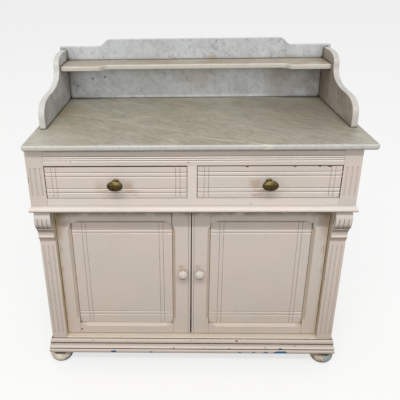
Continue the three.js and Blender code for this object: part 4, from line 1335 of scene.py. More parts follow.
@dataclass
class Flutes:
    """Three flutes with scooped ends."""

    count: int = 3
    radius: float = 0.0028
    depth: float = 0.0017
    spacing: float = 0.0148

    def cutters(self, middle: float, face: float, bottom: float, top: float) -> list[Object]:
        """The cutters for one set of flutes in a face that looks to the front.

        Args:
            middle: The set's middle, in X.
            face: Where the face is, in Y.
            bottom: Where the flutes start.
            top: Where they end.

        Returns:
            One cutter for each flute.
        """
        low, high = bottom + self.radius, top - self.radius
        bpy.ops.object.select_all(action="DESELECT")
        bpy.ops.mesh.primitive_uv_sphere_add(
            segments=32, ring_count=16, radius=self.radius,
            location=(middle, face - self.radius + self.depth, low),
        )
        first = bpy.context.object
        settle(first)
        with editing(first):
            choose_faces(first, lambda centre, normal: centre.z > low)
            bpy.ops.mesh.extrude_region_move(TRANSFORM_OT_translate={"value": (0, 0, high - low)})
        places = [(place - (self.count - 1) / 2) * self.spacing for place in range(self.count)]
        copies = [shift(duplicate(first, "flute"), Vector((place, 0, 0))) for place in places[1:]]
        return [shift(first, Vector((places[0], 0, 0))), *copies]


@dataclass
class MarbleSet:
    """The slab, its splashback, the two curved side slabs and the shelf between them."""

    nose: float = 0.006
    arris: float = 0.007
    corner: float = 0.008
    front_zone: float = 0.01
    back_zone: float = 0.02
    rise: float = 0.024
    crest: float = 0.610
    crest_ogee: float = 0.046
    edge: float = 0.0022
    shelf_recess: float = 0.026
    shelf_middle: float = 0.606
    shelf_ogee: float = 0.034
    shelf_nose: float = 0.006
    side_run: Point3 = (0.096, 0.244, 0.328)
    side_rise: Point4 = (0.034, 0.085, 0.140, 0.181)
    upright_pull: float = 0.76
    level_pull: float = 0.55
    curve_steps: int = 16
    side_tones: dict[Side, tuple[str, str, str, str]] = field(default_factory=lambda: {
        Side.LEFT: ("d6d6d3", "cfccc7", "979995", "62676a"),
        Side.RIGHT: ("bdb3a7", "c8c6c2", "7e7263", "5f5649"),
    })

    def build(self) -> None:
        """Builds all five slabs."""
        self.slab()
        self.splashback()
        self.shelf()
        for side in Side:
            self.side_slab(side)

    def slab(self) -> None:
        """The worktop, with a rounded upper edge."""
        low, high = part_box("marble_top")
        piece = block("worktop", (low, high))
        top = high.z
        dress(piece, MarbleFinish(
            "slab_marble", face="b2ac9c", edge="d2d4d3", shade="8b8674", light="cbc2aa", vein="5f5b4d",
            stain="8d8265", stained=0.4, clouded=0.35, streaked=0.6, lit=0.45, dark_veins=0.2,
            turned=(0, 0, math.radians(-38)), drawn_out=Vector((4.0, 26.0, 9.0)),
            flat=Axis.Z, edge_share=0.58, soiled=0.4,
            spots=(
                (Vector((-0.013, -0.045, top)), 0.006, "45473d", 0.8),
                (Vector((0.006, -0.041, top)), 0.004, "5a5b4e", 0.8),
                (Vector((-0.168, -0.164, top)), 0.002, "4d4a40", 0.8),
                (Vector((0.312, -0.17, top)), 0.003, "5c5344", 0.8),
                # Two wide patches darken the slab towards the back and the right: grime and painted shade.
                (Vector((0.0, 0.10, top)), 0.32, "7a7a5e", 0.06),
                (Vector((0.42, 0.05, top)), 0.34, "5e5548", 0.42),
                (Vector((-0.44, 0.10, top)), 0.10, "8c7552", 0.4),
                (Vector((-0.43, -0.24, top)), 0.22, "c9c4b8", 0.3),
            ),
            strokes=(
                (Vector((-0.35, 0.019, top)), math.radians(-26), 0.24, 0.0045, "d8d0b4", 0.6),
                (Vector((-0.299, -0.082, top)), math.radians(-40), 0.15, 0.0035, "d8d0b4", 0.5),
                (Vector((-0.109, -0.108, top)), math.radians(-30), 0.19, 0.0035, "d6cfb6", 0.55),
                (Vector((0.112, -0.237, top)), math.radians(-20), 0.26, 0.0045, "dcd6c0", 0.7),
                (Vector((0.258, -0.005, top)), math.radians(-36), 0.16, 0.006, "6d6859", 0.5),
            ),
        ))
        ease(piece, self.corner, lambda middle, along: abs(along.z) > SQUARE
             and middle.y < low.y + self.front_zone, 4, 0)
        ease(piece, self.nose, lambda middle, along: middle.z > high.z - WELD, 6, 0)
        ease(piece, self.arris, lambda middle, along: middle.z < low.z + WELD, 3, 0)
        fit(piece, Body.CARCASS, Slot.MARBLE, "marble_top")

    def splashback(self) -> None:
        """The upright slab, with a raised middle."""
        low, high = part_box("marble_splashback")
        centre = (low.x + high.x) / 2
        shoulder = high.z - self.rise
        half, flat = (high.x - low.x) / 2, self.crest / 2
        climb = ogee((flat + self.crest_ogee, shoulder), (flat, high.z))
        right = [(half, low.z), (half, shoulder), *climb]
        piece = prism("splashback", mirrored(right, centre), Axis.Y, low.y, high.y)
        face = low.y
        dress(piece, MarbleFinish(
            "splash_marble", face="c9ccce", edge="cfcfcc", shade="adb2b4", light="dcdcd8", vein="5a636a",
            stained=0.12, clouded=0.5, streaked=0.22, dark_veins=0.5, vein_scale=2.6,
            turned=(0, math.radians(58), 0), drawn_out=Vector((3.2, 5.0, 5.0)),
            soiled=0.0, paler_below=0.984,
            spots=(
                (Vector((0.080, face, 0.988)), 0.022, "a58a58", 0.5),
                (Vector((-0.088, face, 1.029)), 0.0022, "4f5357", 0.9),
                (Vector((-0.367, face, 0.916)), 0.004, "4a5055", 0.7),
                (Vector((-0.320, face, 0.9215)), 0.005, "5a6166", 0.7),
                (Vector((-0.46, face, 0.94)), 0.08, "7d6c54", 0.55),
                (Vector((0.02, face, 0.93)), 0.09, "b09a72", 0.3),
                (Vector((0.33, face, 0.93)), 0.12, "8f7d66", 0.55),
                (Vector((0.46, face, 0.93)), 0.10, "786650", 0.58),
            ),
        ))
        ease(piece, self.edge, lambda middle, along: middle.z > low.z + WELD, 3, 0)
        fit(piece, Body.CARCASS, Slot.MARBLE, "marble_splashback")

    def shelf_plan(self, play: float) -> list[Point2]:
        """The shelf's outline from above, or that of its housing.

        Args:
            play: How far the housing stands off the shelf.

        Returns:
            The outline's points in X and Y.
        """
        low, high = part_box("marble_shelf")
        centre, half = (low.x + high.x) / 2, (high.x - low.x) / 2 + play
        front, flat = low.y - play, self.shelf_middle / 2
        back = front + self.shelf_recess
        right = [
            (half, high.y + play),
            (half, front),
            *ogee((flat + self.shelf_ogee, front), (flat, back)),
        ]
        return mirrored(right, centre)

    def shelf(self) -> None:
        """The shelf, whose middle stands back."""
        low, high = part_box("marble_shelf")
        piece = prism("shelf", self.shelf_plan(0), Axis.Z, low.z, high.z)
        dress(piece, MarbleFinish(
            "shelf_marble", face="bab0a0", edge="c9c4b9", shade="94866f", light="d2c7b0", vein="6d675c",
            stain="92795a", stained=0.45, clouded=0.5, streaked=0.35, turned=(0, 0, math.radians(8)),
            dark_veins=0.3, flat=Axis.Z,
            spots=(
                (Vector((0.19, low.y + 0.04, high.z)), 0.022, "7c7a74", 0.55),
                (Vector((0.20, low.y + 0.01, high.z)), 0.014, "6b6963", 0.55),
                (Vector((0.47, high.y - 0.05, high.z)), 0.06, "86704f", 0.5),
            ),
        ))
        ease(piece, self.shelf_nose, lambda middle, along: middle.y < high.y - self.back_zone
             and abs(along.z) < 0.5 and middle.z > high.z - WELD, 5, 0)
        ease(piece, self.edge, lambda middle, along: middle.y < high.y - self.back_zone
             and middle.z < low.z + WELD, 3, 0)
        fit(piece, Body.CARCASS, Slot.MARBLE, "marble_shelf")

    def side_outline(self, front: float, back: float, bottom: float) -> list[Point2]:
        """The side slab's outline, which climbs to the back in two curves.

        Args:
            front: Its front edge, in Y.
            back: Its back edge.
            bottom: Its bottom edge, in Z.

        Returns:
            The outline's points in Y and Z.
        """
        runs = [front, *(front + run for run in self.side_run)]
        nose, low, step, top = (bottom + rise for rise in self.side_rise)
        knots = [(runs[0], nose), (runs[1], low), (runs[2], step), (runs[3], top)]
        points = [(back, bottom), (front, bottom)]
        for number, (start, end) in enumerate(zip(knots, knots[1:])):
            upright = self.upright_pull * (end[1] - start[1])
            level = self.level_pull * (end[0] - start[0])
            if number == 1:
                out, into = (start[0] + level, start[1]), (end[0], end[1] - upright)
            else:
                out, into = (start[0], start[1] + upright), (end[0] - level, end[1])
            points += sweep(start, out, into, end, self.curve_steps)
        return [*dict.fromkeys(points), (back, top)]

    def side_slab(self, side: Side) -> None:
        """One of the curved slabs at the worktop's ends.

        Args:
            side: Which end it stands at.
        """
        node = f"marble_side_{side.label}"
        low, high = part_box(node)
        outline = self.side_outline(low.y, high.y, low.z)
        piece = prism(f"side_slab_{side.label}", outline, Axis.X, low.x, high.x)
        face, edge, shade, vein = self.side_tones[side]
        dress(piece, MarbleFinish(
            f"side_marble_{side.label}", face=face, edge=edge, shade=shade, vein=vein,
            stained=0.3, clouded=0.5, streaked=0.5, dark_veins=0.3,
            turned=(math.radians(65), 0, 0), drawn_out=Vector((12.0, 2.8, 12.0)),
            flat=Axis.X, edge_share=0.7,
        ))
        ease(piece, self.edge, lambda middle, along: abs(along.x) < 0.5
             and middle.z > low.z + WELD and middle.y < high.y - WELD, 3, 0)
        floor, ceiling = (corner.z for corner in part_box("marble_shelf"))
        carve(piece, [prism("housing", self.shelf_plan(FIT), Axis.Z, floor - FIT, ceiling + FIT)])
        fit(piece, Body.CARCASS, Slot.MARBLE, node)


@dataclass
class DrawerCase:
    """The frame round the drawers: frieze, divider, lower rail and the fluted corner blocks."""

    line: CutLine = field(default_factory=CutLine)
    lines: int = 3
    first_line: float = 0.0228
    line_spacing: float = 0.0064
    flutes: Flutes = field(default_factory=Flutes)
    flute_start: float = 0.005
    board_edge: float = 0.0004
    fine_edge: float = 0.0002
    corner_wear: float = 0.0016
    corner_zone: float = 0.002
    spot_bite: float = 0.001
    chip_bite: float = 0.003
    spots: tuple[Point3, ...] = (
        (-0.0167, 0.7826, 0.0018), (-0.3557, 0.7864, 0.0014), (-0.3446, 0.8138, 0.0012),
    )
    block_chips: tuple[tuple[float, float, float, str, str], ...] = (
        (0.7346, 0.0062, 0.0036, "b79a74", "8a6a48"),
        (0.7246, 0.0034, 0.0048, "4a3524", "6f5238"),
        (0.7041, 0.0022, 0.0022, "6f5238", "8a6a48"),
    )

    def build(self) -> None:
        """Builds the rails, the divider and both blocks."""
        self.frieze()
        for node in ("drawer_divider", "lower_rail"):
            grain = Axis.Z if node == "drawer_divider" else Axis.X
            piece = plank(f"{node}_board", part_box(node), grain, self.board_edge, RAIL_PAINT[grain])
            bare_back(piece, grain)
            fit(piece, Body.CARCASS, Slot.PAINT, node)
        for side in Side:
            self.corner_block(side)

    def frieze(self) -> None:
        """The rail under the marble, with three lines along it."""
        low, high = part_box("frieze_rail")
        piece = plank("frieze_board", (low, high), Axis.X, self.fine_edge, FRIEZE_PAINT)
        bare_back(piece, Axis.X)
        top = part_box("marble_top")[0].z - self.first_line
        heights = [top - number * self.line_spacing for number in range(self.lines)]
        self.line.cut(piece, (low, high), Axis.X, heights)
        self.line.soil(piece, low.y)
        carve(piece, [
            pit(Vector((x, low.y, z)), Vector((half, self.spot_bite, half)), GRIME_AND_SHADE)
            for x, z, half in self.spots
        ])
        bare(piece, GRIME_AND_SHADE, lambda middle, normal: normal.z < -SQUARE)
        fit(piece, Body.CARCASS, Slot.PAINT, "frieze_rail")

    def corner_block(self, side: Side) -> None:
        """One fluted block beside the drawers.

        Args:
            side: Which side it stands on.
        """
        node = f"corner_block_{side.label}"
        low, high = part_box(node)
        outer = low.x if side is Side.LEFT else high.x
        piece = block(f"fluted_block_{side.label}", (low, high))
        painted(piece, Axis.Z)
        ease(piece, self.corner_wear, lambda middle, along: abs(along.z) > SQUARE
             and abs(middle.x - outer) < WELD and middle.y < low.y + WELD)
        ease(piece, self.fine_edge, lambda middle, along: middle.y > low.y + WELD
             or abs(middle.x - outer) > self.corner_zone)
        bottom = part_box("lower_rail")[1].z + self.flute_start
        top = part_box("frieze_rail")[0].z - self.flute_start
        carve(piece, self.flutes.cutters((low.x + high.x) / 2, low.y, bottom, top))
        if side is Side.LEFT:
            carve(piece, [
                pit(Vector((low.x, low.y, z)), Vector((wide, self.chip_bite, half)),
                    GrimeFinish(f"chipped_wood_{dark}", dark=dark, brown=brown))
                for z, wide, half, dark, brown in self.block_chips
            ])
        bare_back(piece, Axis.Z)
        fit(piece, Body.CARCASS, Slot.PAINT, node)


@dataclass
class WaistMoulding:
    """The moulded board under the drawers: a round nose with a hollow above."""

    projection: float = 0.008
    nose_height: float = 0.013
    nose_depth: float = 0.0055
    nose_end: float = math.pi / 3
    fillet: float = 0.001
    eased: float = 0.0005

    def profile(self, bottom: float, top: float) -> list[Point2]:
        """The edge's outline, as distance in from the tip and height.

        Args:
            bottom: The board's lower face.
            top: Its upper face.

        Returns:
            The points from the lower to the upper face.
        """
        half = self.nose_height / 2
        nose = arc((self.nose_depth, bottom + half), (self.nose_depth, half), -math.pi / 2, self.nose_end, 16)
        inset = self.projection - self.fillet
        return [*nose, *bend(nose[-1], (inset, nose[-1][1]), (inset, top), 8)[1:]]

    def build(self) -> None:
        """Builds the front board with its returns, and the strip on each side."""
        low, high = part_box("waist_moulding_front")
        edge = self.profile(low.z, high.z)
        section = [*((low.y + inset, z) for inset, z in edge), (high.y, high.z), (high.y, low.z)]
        piece = prism("waist_board", section, Axis.X, low.x, high.x)
        left = [(low.x + inset, z) for inset, z in edge]
        right = [(high.x - inset, z) for inset, z in reversed(edge)]
        ends = prism("ends", left + right, Axis.Y, low.y, high.y)
        painted(piece, Axis.X, RAIL_PAINT[Axis.X])
        painted(ends, Axis.X, RAIL_PAINT[Axis.X])
        carve(piece, [ends], keep_common=True)
        bare_back(piece, Axis.X)
        fit(piece, Body.CARCASS, Slot.PAINT, "waist_moulding_front")
        for side in Side:
            self.strip(side)

    def strip(self, side: Side) -> None:
        """The moulding along one side of the carcass.

        Args:
            side: Which side it is fixed to.
        """
        node = f"waist_moulding_{side.label}"
        low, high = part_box(node)
        outer, inner = (low.x, high.x) if side is Side.LEFT else (high.x, low.x)
        edge = [(outer - side.value * inset, z) for inset, z in self.profile(low.z, high.z)]
        outline = [(inner, low.z), *edge, (inner, high.z)]
        piece = prism(f"waist_strip_{side.label}", outline, Axis.Y, low.y, high.y)
        painted(piece, Axis.Y, RAIL_PAINT[Axis.Y])
        fit(piece, Body.CARCASS, Slot.PAINT, node)


@dataclass
class FrontPosts:
    """The fluted pilasters with the carved corbels on them."""

    flutes: Flutes = field(default_factory=Flutes)
    flute_start: float = 0.015
    wear: float = 0.0014
    corbel_setback: float = 0.0015
    roll_height: float = 0.066
    belly_drop: float = 0.030
    roll_top: float = 0.0125
    brow: float = 0.012
    roll_foot: float = 0.0155
    tuck: float = 0.010
    fillet: float = 0.004
    fillet_setback: float = 0.0165
    cove_height: float = 0.024
    cove_setback: float = 0.0275
    torus: Point2 = (0.006, 0.005)
    hollow: Point2 = (0.017, 0.031)
    hollow_height: float = 0.058
    grooves: int = 3
    groove_width: float = 0.0028
    groove_depth: float = 0.0012
    groove_spacing: float = 0.014
    groove_start: float = 0.001
    groove_fade: float = 0.006
    groove_stand: float = 0.002
    corbel_edge: float = 0.0007
    dot: float = 0.0019
    dots: tuple[Point2, ...] = (
        (-0.4876, 0.4521), (-0.4681, 0.4234), (-0.4663, 0.3501), (-0.4868, 0.3158),
        (0.4493, 0.2318), (0.4695, 0.1529),
    )

    def build(self) -> None:
        """Builds a pilaster and a corbel on each side."""
        for side in Side:
            self.pilaster(side)
            self.corbel(side)

    def pilaster(self, side: Side) -> None:
        """One fluted post.

        Args:
            side: Which side it stands on.
        """
        node = f"pilaster_{side.label}"
        low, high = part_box(node)
        piece = block(f"fluted_pilaster_{side.label}", (low, high))
        dots = tuple(
            (Vector((x, low.y, z)), self.dot, "4a3a2a", 0.8) for x, z in self.dots if x * side.value > 0
        )
        painted(piece, Axis.Z, PaintFinish(f"pilaster_paint_{side.label}", Axis.Z, spots=dots))
        ease(piece, self.wear, lambda middle, along: abs(along.z) > SQUARE and middle.y < low.y + WELD)
        inward = -side.value
        # The inner face takes the shaded copy of the ochre: painted shade.
        bare(piece, SHADED_OCHRE[side], lambda middle, normal: normal.x * inward > SQUARE)
        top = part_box(f"corbel_{side.label}")[0].z - self.flute_start
        carve(piece, self.flutes.cutters((low.x + high.x) / 2, low.y, low.z + self.flute_start, top))
        fit(piece, Body.CARCASS, Slot.PAINT, node)

    def corbel_outline(self, face: float, back: float, bottom: float, top: float) -> list[Point2]:
        """The corbel's side view: torus, cove, fillet and roll, with air behind the roll.

        Args:
            face: The front of the drawer case, from which setbacks are measured.
            back: The corbel's back.
            bottom: Its foot.
            top: Its top.

        Returns:
            The outline's points in Y and Z.
        """
        roll_foot, belly = top - self.roll_height, top - self.belly_drop
        cove_top = roll_foot - self.fillet
        cove_foot = cove_top - self.cove_height
        front = face + self.corbel_setback
        depth, half = self.torus
        middle = top - self.hollow_height + self.hollow[1]
        mouth = math.asin((top - middle) / self.hollow[1])
        cove = face + self.cove_setback
        fillet = face + self.fillet_setback
        return [
            (back, bottom),
            *arc((cove, cove_foot - half), (depth, half), -math.pi / 2, math.pi / 2, 12),
            *bend((cove, cove_foot), (cove, (cove_top + cove_foot) / 2), (fillet, cove_top), 10)[1:],
            (fillet, roll_foot),
            *bend((face + self.roll_foot, roll_foot), (front, roll_foot + self.tuck), (front, belly), 14),
            *bend((front, belly), (front, belly + self.brow), (face + self.roll_top, top), 14)[1:],
            *arc((back, middle), self.hollow, mouth, -math.pi / 2, 20),
        ]

    def corbel(self, side: Side) -> None:
        """One carved corbel.

        Args:
            side: Which side it stands on.
        """
        node = f"corbel_{side.label}"
        low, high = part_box(node)
        face = low.y - self.corbel_setback
        outline = self.corbel_outline(face, high.y, low.z, high.z)
        piece = prism(f"carved_corbel_{side.label}", outline, Axis.X, low.x, high.x)
        painted(piece, Axis.Z)
        ends = (low.x, high.x)
        ease(piece, self.corbel_edge, lambda middle, along: min(abs(middle.x - end) for end in ends) < WELD
             and middle.y < high.y - WELD, 2)
        roll_foot, belly = high.z - self.roll_height, high.z - self.belly_drop
        start, sunk = roll_foot + self.groove_start, low.y + self.groove_depth
        fade, front = belly + self.groove_fade, low.y - self.groove_stand
        groove = [
            (front, start),
            *bend((face + self.roll_foot, start), (sunk, start + self.tuck), (sunk, belly), 12),
            *bend((sunk, belly), (sunk, fade), (front, fade + self.groove_fade), 8)[1:],
        ]
        half = self.groove_width / 2
        first = (low.x + high.x) / 2 - (self.grooves - 1) / 2 * self.groove_spacing
        places = [first + number * self.groove_spacing for number in range(self.grooves)]
        carve(piece, [prism("groove", groove, Axis.X, place - half, place + half) for place in places])
        fit(piece, Body.CARCASS, Slot.PAINT, node)


@dataclass
class Plinth:
    """The moulded base: a bead below and two bands that step back, with sunk lines between."""

    projection: float = 0.014
    bead_height: float = 0.0176
    bead_depth: float = 0.005
    quirk: float = 0.0024
    quirk_depth: float = 0.002
    upper_quirk: float = 0.0093
    band_inset: float = 0.001
    band_height: float = 0.0184
    band_round: float = 0.002
    band_start: Point2 = (0.0012, 0.005)
    band_pull: float = 0.008
    band_hollow: float = 0.0048
    cap_inset: float = 0.0065
    cap_hollow: float = 0.006
    creep: float = 0.0009
    slot: float = 0.0034
    slot_depth: float = 0.0030
    chips: tuple[Point4, ...] = (
        (-0.2763, 0.0712, 0.0085, 0.0100),
        (-0.1449, 0.0676, 0.0070, 0.0044),
        (-0.0900, 0.0655, 0.0036, 0.0014),
        (0.1250, 0.0838, 0.0044, 0.0024),
        (0.1632, 0.0672, 0.0080, 0.0030),
        (0.2102, 0.0680, 0.0060, 0.0032),
        (0.2504, 0.0693, 0.0105, 0.0040),
        (0.2991, 0.0848, 0.0086, 0.0026),
        (0.2920, 0.0712, 0.0140, 0.0135),
        (0.3060, 0.0712, 0.0140, 0.0135),
    )
    flake_stand: float = 0.0025
    flake_spread: float = 1.4
    flake_bite: float = 0.001
    dents: tuple[Point4, ...] = (
        (-0.0058, 0.1122, 0.0028, 0.0012),
        (0.0148, 0.1124, 0.0026, 0.0012),
        (0.0050, 0.1110, 0.0020, 0.0010),
        (0.2502, 0.0879, 0.0014, 0.0026),
        (0.3514, 0.0936, 0.0018, 0.0024),
        (-0.3456, 0.1120, 0.0022, 0.0014),
        (0.0393, 0.0861, 0.0014, 0.0016),
        (-0.0659, 0.0853, 0.0028, 0.0012),
    )
    bruises: tuple[Point4, ...] = ((0.1496, 0.1130, 0.0048, 0.0030),)

    def profile(self, bottom: float, top: float) -> list[Point2]:
        """The plinth's face, as distance in from its outermost line and height.

        Args:
            bottom: Its lower edge.
            top: Its upper edge.

        Returns:
            The points from the lower to the upper edge.
        """
        half = self.bead_height / 2
        root = self.bead_depth + self.quirk_depth
        band = bottom + self.bead_height + self.quirk
        band_top = band + self.band_height
        cap = band_top + self.quirk
        hollow = self.band_inset + self.band_hollow
        return [
            *arc((self.bead_depth, bottom + half), (self.bead_depth, half), -math.pi / 2, math.pi / 2, 18),
            (root, band - self.quirk),
            (root, band),
            *arc((self.band_inset + self.band_round, band + self.band_round),
                 (self.band_round, self.band_round), -math.pi / 2, math.pi / 4, 6),
            *bend((self.band_inset + self.band_start[0], band + self.band_start[1]),
                  (hollow, band + self.band_pull), (hollow, band_top), 10),
            (self.upper_quirk, band_top),
            (self.upper_quirk, cap),
            *bend(
                (self.cap_inset, cap), (self.cap_inset - 0.001, cap + self.cap_hollow),
                (self.projection - self.slot - 0.001, top), 10,
            ),
            (self.projection - self.slot, top),
            (self.projection - self.slot, top - self.slot_depth),
        ]

    def section(self, low: Vector, high: Vector, depth: float) -> list[Point2]:
        """The whole section of a plinth board, with its seat for the bottom board.

        Args:
            low: The board's lowest corner.
            high: Its highest corner.
            depth: Its full thickness.

        Returns:
            The outline's points, as distance in and height.
        """
        seat = self.projection - FIT
        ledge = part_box("bottom_board")[0].z - FIT
        inside = [(seat, high.z - self.slot_depth), (seat, ledge), (depth, ledge), (depth, low.z)]
        return [*self.profile(low.z, high.z), *inside]

    def mitre(self, piece: Object, corner: Vector, away: Vector) -> None:
        """Cuts a board's end on the slant.

        Args:
            piece: The board.
            corner: A point on the cut.
            away: The side that is taken off.
        """
        with editing(piece, whole=True):
            bpy.ops.mesh.bisect(plane_co=corner, plane_no=away, use_fill=True, clear_outer=True)

    def build(self) -> None:
        """Builds the front and the two side boards, and chips the lower edge."""
        low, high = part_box("plinth_front")
        outline = [(low.y + inset, z) for inset, z in self.section(low, high, high.y - low.y)]
        piece = prism("plinth_front_board", outline, Axis.X, low.x, high.x)
        self.mitre(piece, Vector((low.x, low.y, low.z)), Vector((-1, 1, 0)))
        self.mitre(piece, Vector((high.x, low.y, low.z)), Vector((1, 1, 0)))
        painted(piece, Axis.X, PLINTH_PAINT[Axis.X])
        self.chip(piece, low)
        bare_back(piece, Axis.X)
        self.soil(piece, low, high)
        fit(piece, Body.CARCASS, Slot.PAINT, "plinth_front")
        for side in Side:
            self.side_board(side, low.y)

    def side_board(self, side: Side, front: float) -> None:
        """The plinth along one side.

        Args:
            side: Which side it is on.
            front: Where the front board's face is, in Y.
        """
        node = f"plinth_{side.label}"
        low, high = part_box(node)
        outer = low.x if side is Side.LEFT else high.x
        section = self.section(low, high, high.x - low.x)
        outline = [(outer - side.value * inset, z) for inset, z in section]
        piece = prism(f"plinth_side_board_{side.label}", outline, Axis.Y, front, high.y)
        self.mitre(piece, Vector((outer, low.y, low.z)), Vector((-side.value, -1, 0)))
        painted(piece, Axis.Y, PLINTH_PAINT[Axis.Y])
        bare(piece, BARE[Axis.Y], lambda middle, normal: normal.x * side.value < -SQUARE)
        self.soil(piece, low, high)
        fit(piece, Body.CARCASS, Slot.PAINT, node)

    def soil(self, piece: Object, low: Vector, high: Vector) -> None:
        """Fills the two sunk lines and the slot behind the upper edge with brown grime, which also stands for
        their painted shade.

        Args:
            piece: The board.
            low: Its lowest corner.
            high: Its highest corner.
        """
        lower = low.z + self.bead_height + self.quirk / 2
        upper = lower + self.quirk + self.band_height
        floor = high.z - self.slot_depth
        bare(piece, QUIRK_GRIME_AND_SHADE, lambda middle, normal: (
            min(abs(middle.z - lower), abs(middle.z - upper)) < 0.5 * self.quirk + self.creep
        ) or (abs(middle.z - floor) < 0.0002 and normal.z > SQUARE))

    def chip(self, piece: Object, low: Vector) -> None:
        """Breaks flakes of paint off, down to an older blue coat or to dark wood.

        Args:
            piece: The front board.
            low: Its lowest corner.
        """
        edge = sorted(self.profile(low.z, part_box("plinth_front")[1].z), key=lambda point: point[1])
        kinds = ((self.chips, BlueCoat()), (self.dents, GRIME_AND_SHADE), (self.bruises, BRUISED_WOOD))
        for flakes, finish in kinds:
            for x, z, half_width, half_height in flakes:
                inset = min(edge, key=lambda point: abs(point[1] - z))[0]
                place = Vector((x, low.y + inset, z))
                place.y -= self.flake_stand
                across_flake, up_flake = self.flake_spread * half_width, self.flake_spread * half_height
                spread = Vector((across_flake, self.flake_stand + self.flake_bite, up_flake))
                carve(piece, [pit(place, spread, finish)])


@dataclass
class Feet:
    """The four turned bun feet, each with a spigot up into the bottom board."""

    radius: float = 0.040
    sole: float = 0.014
    swell_end: float = 0.4 * math.pi
    neck_height: float = 0.009
    neck: float = 0.024
    flare: float = 0.004
    spigot: float = 0.010
    facets: int = 64

    def build(self) -> None:
        """Builds one foot at each corner."""
        for row in ("front", "back"):
            for side in Side:
                self.foot(row, side)

    def foot(self, row: str, side: Side) -> None:
        """One foot.

        Args:
            row: Front or back.
            side: Which side it stands on.
        """
        node = f"foot_{row}_{side.label}"
        low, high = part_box(node)
        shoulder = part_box("plinth_front")[0].z - FIT
        bun_top = shoulder - self.neck_height
        half = bun_top / 2
        swell = (self.sole - self.radius, half)
        section = [
            (0.0, 0.0),
            *arc((self.sole, half), swell, -math.pi / 2, self.swell_end, 24),
            (self.neck, bun_top),
            (self.neck, shoulder - self.flare),
            (self.neck + self.flare, shoulder),
            (self.spigot, shoulder),
            (self.spigot, high.z),
            (0.0, high.z),
        ]
        centre = Vector(((low.x + high.x) / 2, (low.y + high.y) / 2, 0.0))
        piece = turn(f"bun_foot_{row}_{side.label}", section, centre, Axis.Z.vector, self.facets)
        worn = side is Side.RIGHT
        finish = FootFinish(
            f"foot_paint_{row}_{side.label}", centre + Vector((0, 0, half)),
            brown_share=0.8 if worn else 0.15, pale_share=0.8 if worn else 0.0,
        )
        dress(piece, finish)
        fit(piece, Body.CARCASS, Slot.PAINT, node)


@dataclass
class Carcass:
    """The boards that make the box: sides, bottom, back, and the drawers' runners."""

    side_wear: float = 0.0012
    ledge_round: float = 0.0035
    ledge_past_door: float = 0.006
    back_boards: int = 5
    back_line: CutLine = field(default_factory=lambda: CutLine(
        half_width=0.0012, shoulder=0.0008, shoulder_depth=0.0005, lip=0.0008, lip_depth=0.0005
    ))

    def build(self) -> None:
        """Builds the boards."""
        for side in Side:
            self.side_panel(side)
        self.bottom_board()
        self.back_panel()
        for node in ("drawer_runner_left", "drawer_runner_centre", "drawer_runner_right"):
            keep(node, BARE[Axis.Y])
        keep("door_stop", BARE[Axis.X])
        for side in Side:
            for end in ("top", "bottom"):
                keep(f"door_{side.label}_pin_{end}", SteelFinish())

    def merged_copy(self, node: str, name: str) -> Object:
        """A copy of a node with its corners merged and its flat faces joined.

        Args:
            node: The frame's node.
            name: The copy's name.

        Returns:
            The new object.
        """
        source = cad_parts[node]
        piece = bpy.data.objects.new(name, source.data.copy())
        bpy.context.scene.collection.objects.link(piece)
        with editing(piece, whole=True):
            bpy.ops.mesh.customdata_custom_splitnormals_clear()
            bpy.ops.mesh.remove_doubles(threshold=10 * WELD)
            bpy.ops.mesh.dissolve_limited(angle_limit=math.radians(0.5))
        return piece

    def side_panel(self, side: Side) -> None:
        """One side of the carcass, painted outside and bare inside.

        Args:
            side: Which side it is.
        """
        node = f"side_panel_{side.label}"
        piece = self.merged_copy(node, f"side_board_{side.label}")
        painted(piece, Axis.Z)
        ease(piece, self.side_wear)
        inward = -side.value
        bare(piece, BARE[Axis.Z], lambda middle, normal: normal.x * inward > 0.5 or normal.y > SQUARE)
        fit(piece, Body.CARCASS, Slot.PAINT, node)

    def bottom_board(self) -> None:
        """The cupboard's floor, painted along its front and bare inside."""
        low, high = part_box("bottom_board")
        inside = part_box("door_left_bottom_rail")[0].y + self.ledge_past_door
        piece = self.merged_copy("bottom_board", "cupboard_floor")
        painted(piece, Axis.X, LEDGE_PAINT)
        ease(piece, self.ledge_round, lambda middle, along: abs(along.x) > SQUARE and middle.y < low.y + WELD
             and middle.z > high.z - WELD, 5, 0)
        split(piece, inside)
        bare(piece, BARE[Axis.X], lambda middle, normal: middle.y > inside or normal.z < -SQUARE)
        fit(piece, Body.CARCASS, Slot.PAINT, "bottom_board")

    def back_panel(self) -> None:
        """The back, of upright boards with a fine line at each joint."""
        low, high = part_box("back_panel")
        piece = block("back_boards", (low, high))
        dress(piece, BARE[Axis.Z], BARE[Axis.Z])
        ease(piece, 0.0005)
        width = (high.x - low.x) / self.back_boards
        joints = [low.x + number * width for number in range(1, self.back_boards)]
        start, length = low.z - OVER, high.z - low.z + 2 * OVER
        carve(piece, [
            self.back_line.cutter(Vector((x, face, start)), Axis.Z, length, sink)
            for x in joints
            for face, sink in ((low.y, Axis.Y.vector), (high.y, -Axis.Y.vector))
        ])
        fit(piece, Body.CARCASS, Slot.PINE, "back_panel")


@dataclass
class Moving:
    """A drawer or a door, which is a body of its own."""

    kind: ClassVar[str]
    side: Side
    line: CutLine = field(default_factory=CutLine)
    spacing: float = 0.0128

    @property
    def name(self) -> str:
        """The word that its nodes start with."""
        return f"{self.kind}_{self.side.label}"

    @property
    def body(self) -> Body:
        """The body that it is."""
        return Body(self.name)

    def knob_foot(self, board: str) -> Vector:
        """Where the knob's axis meets a board's face.

        Args:
            board: The last word of the board's node.

        Returns:
            The point.
        """
        low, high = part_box(f"{self.name}_knob")
        return Vector(((low.x + high.x) / 2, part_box(f"{self.name}_{board}")[0].y, (low.z + high.z) / 2))


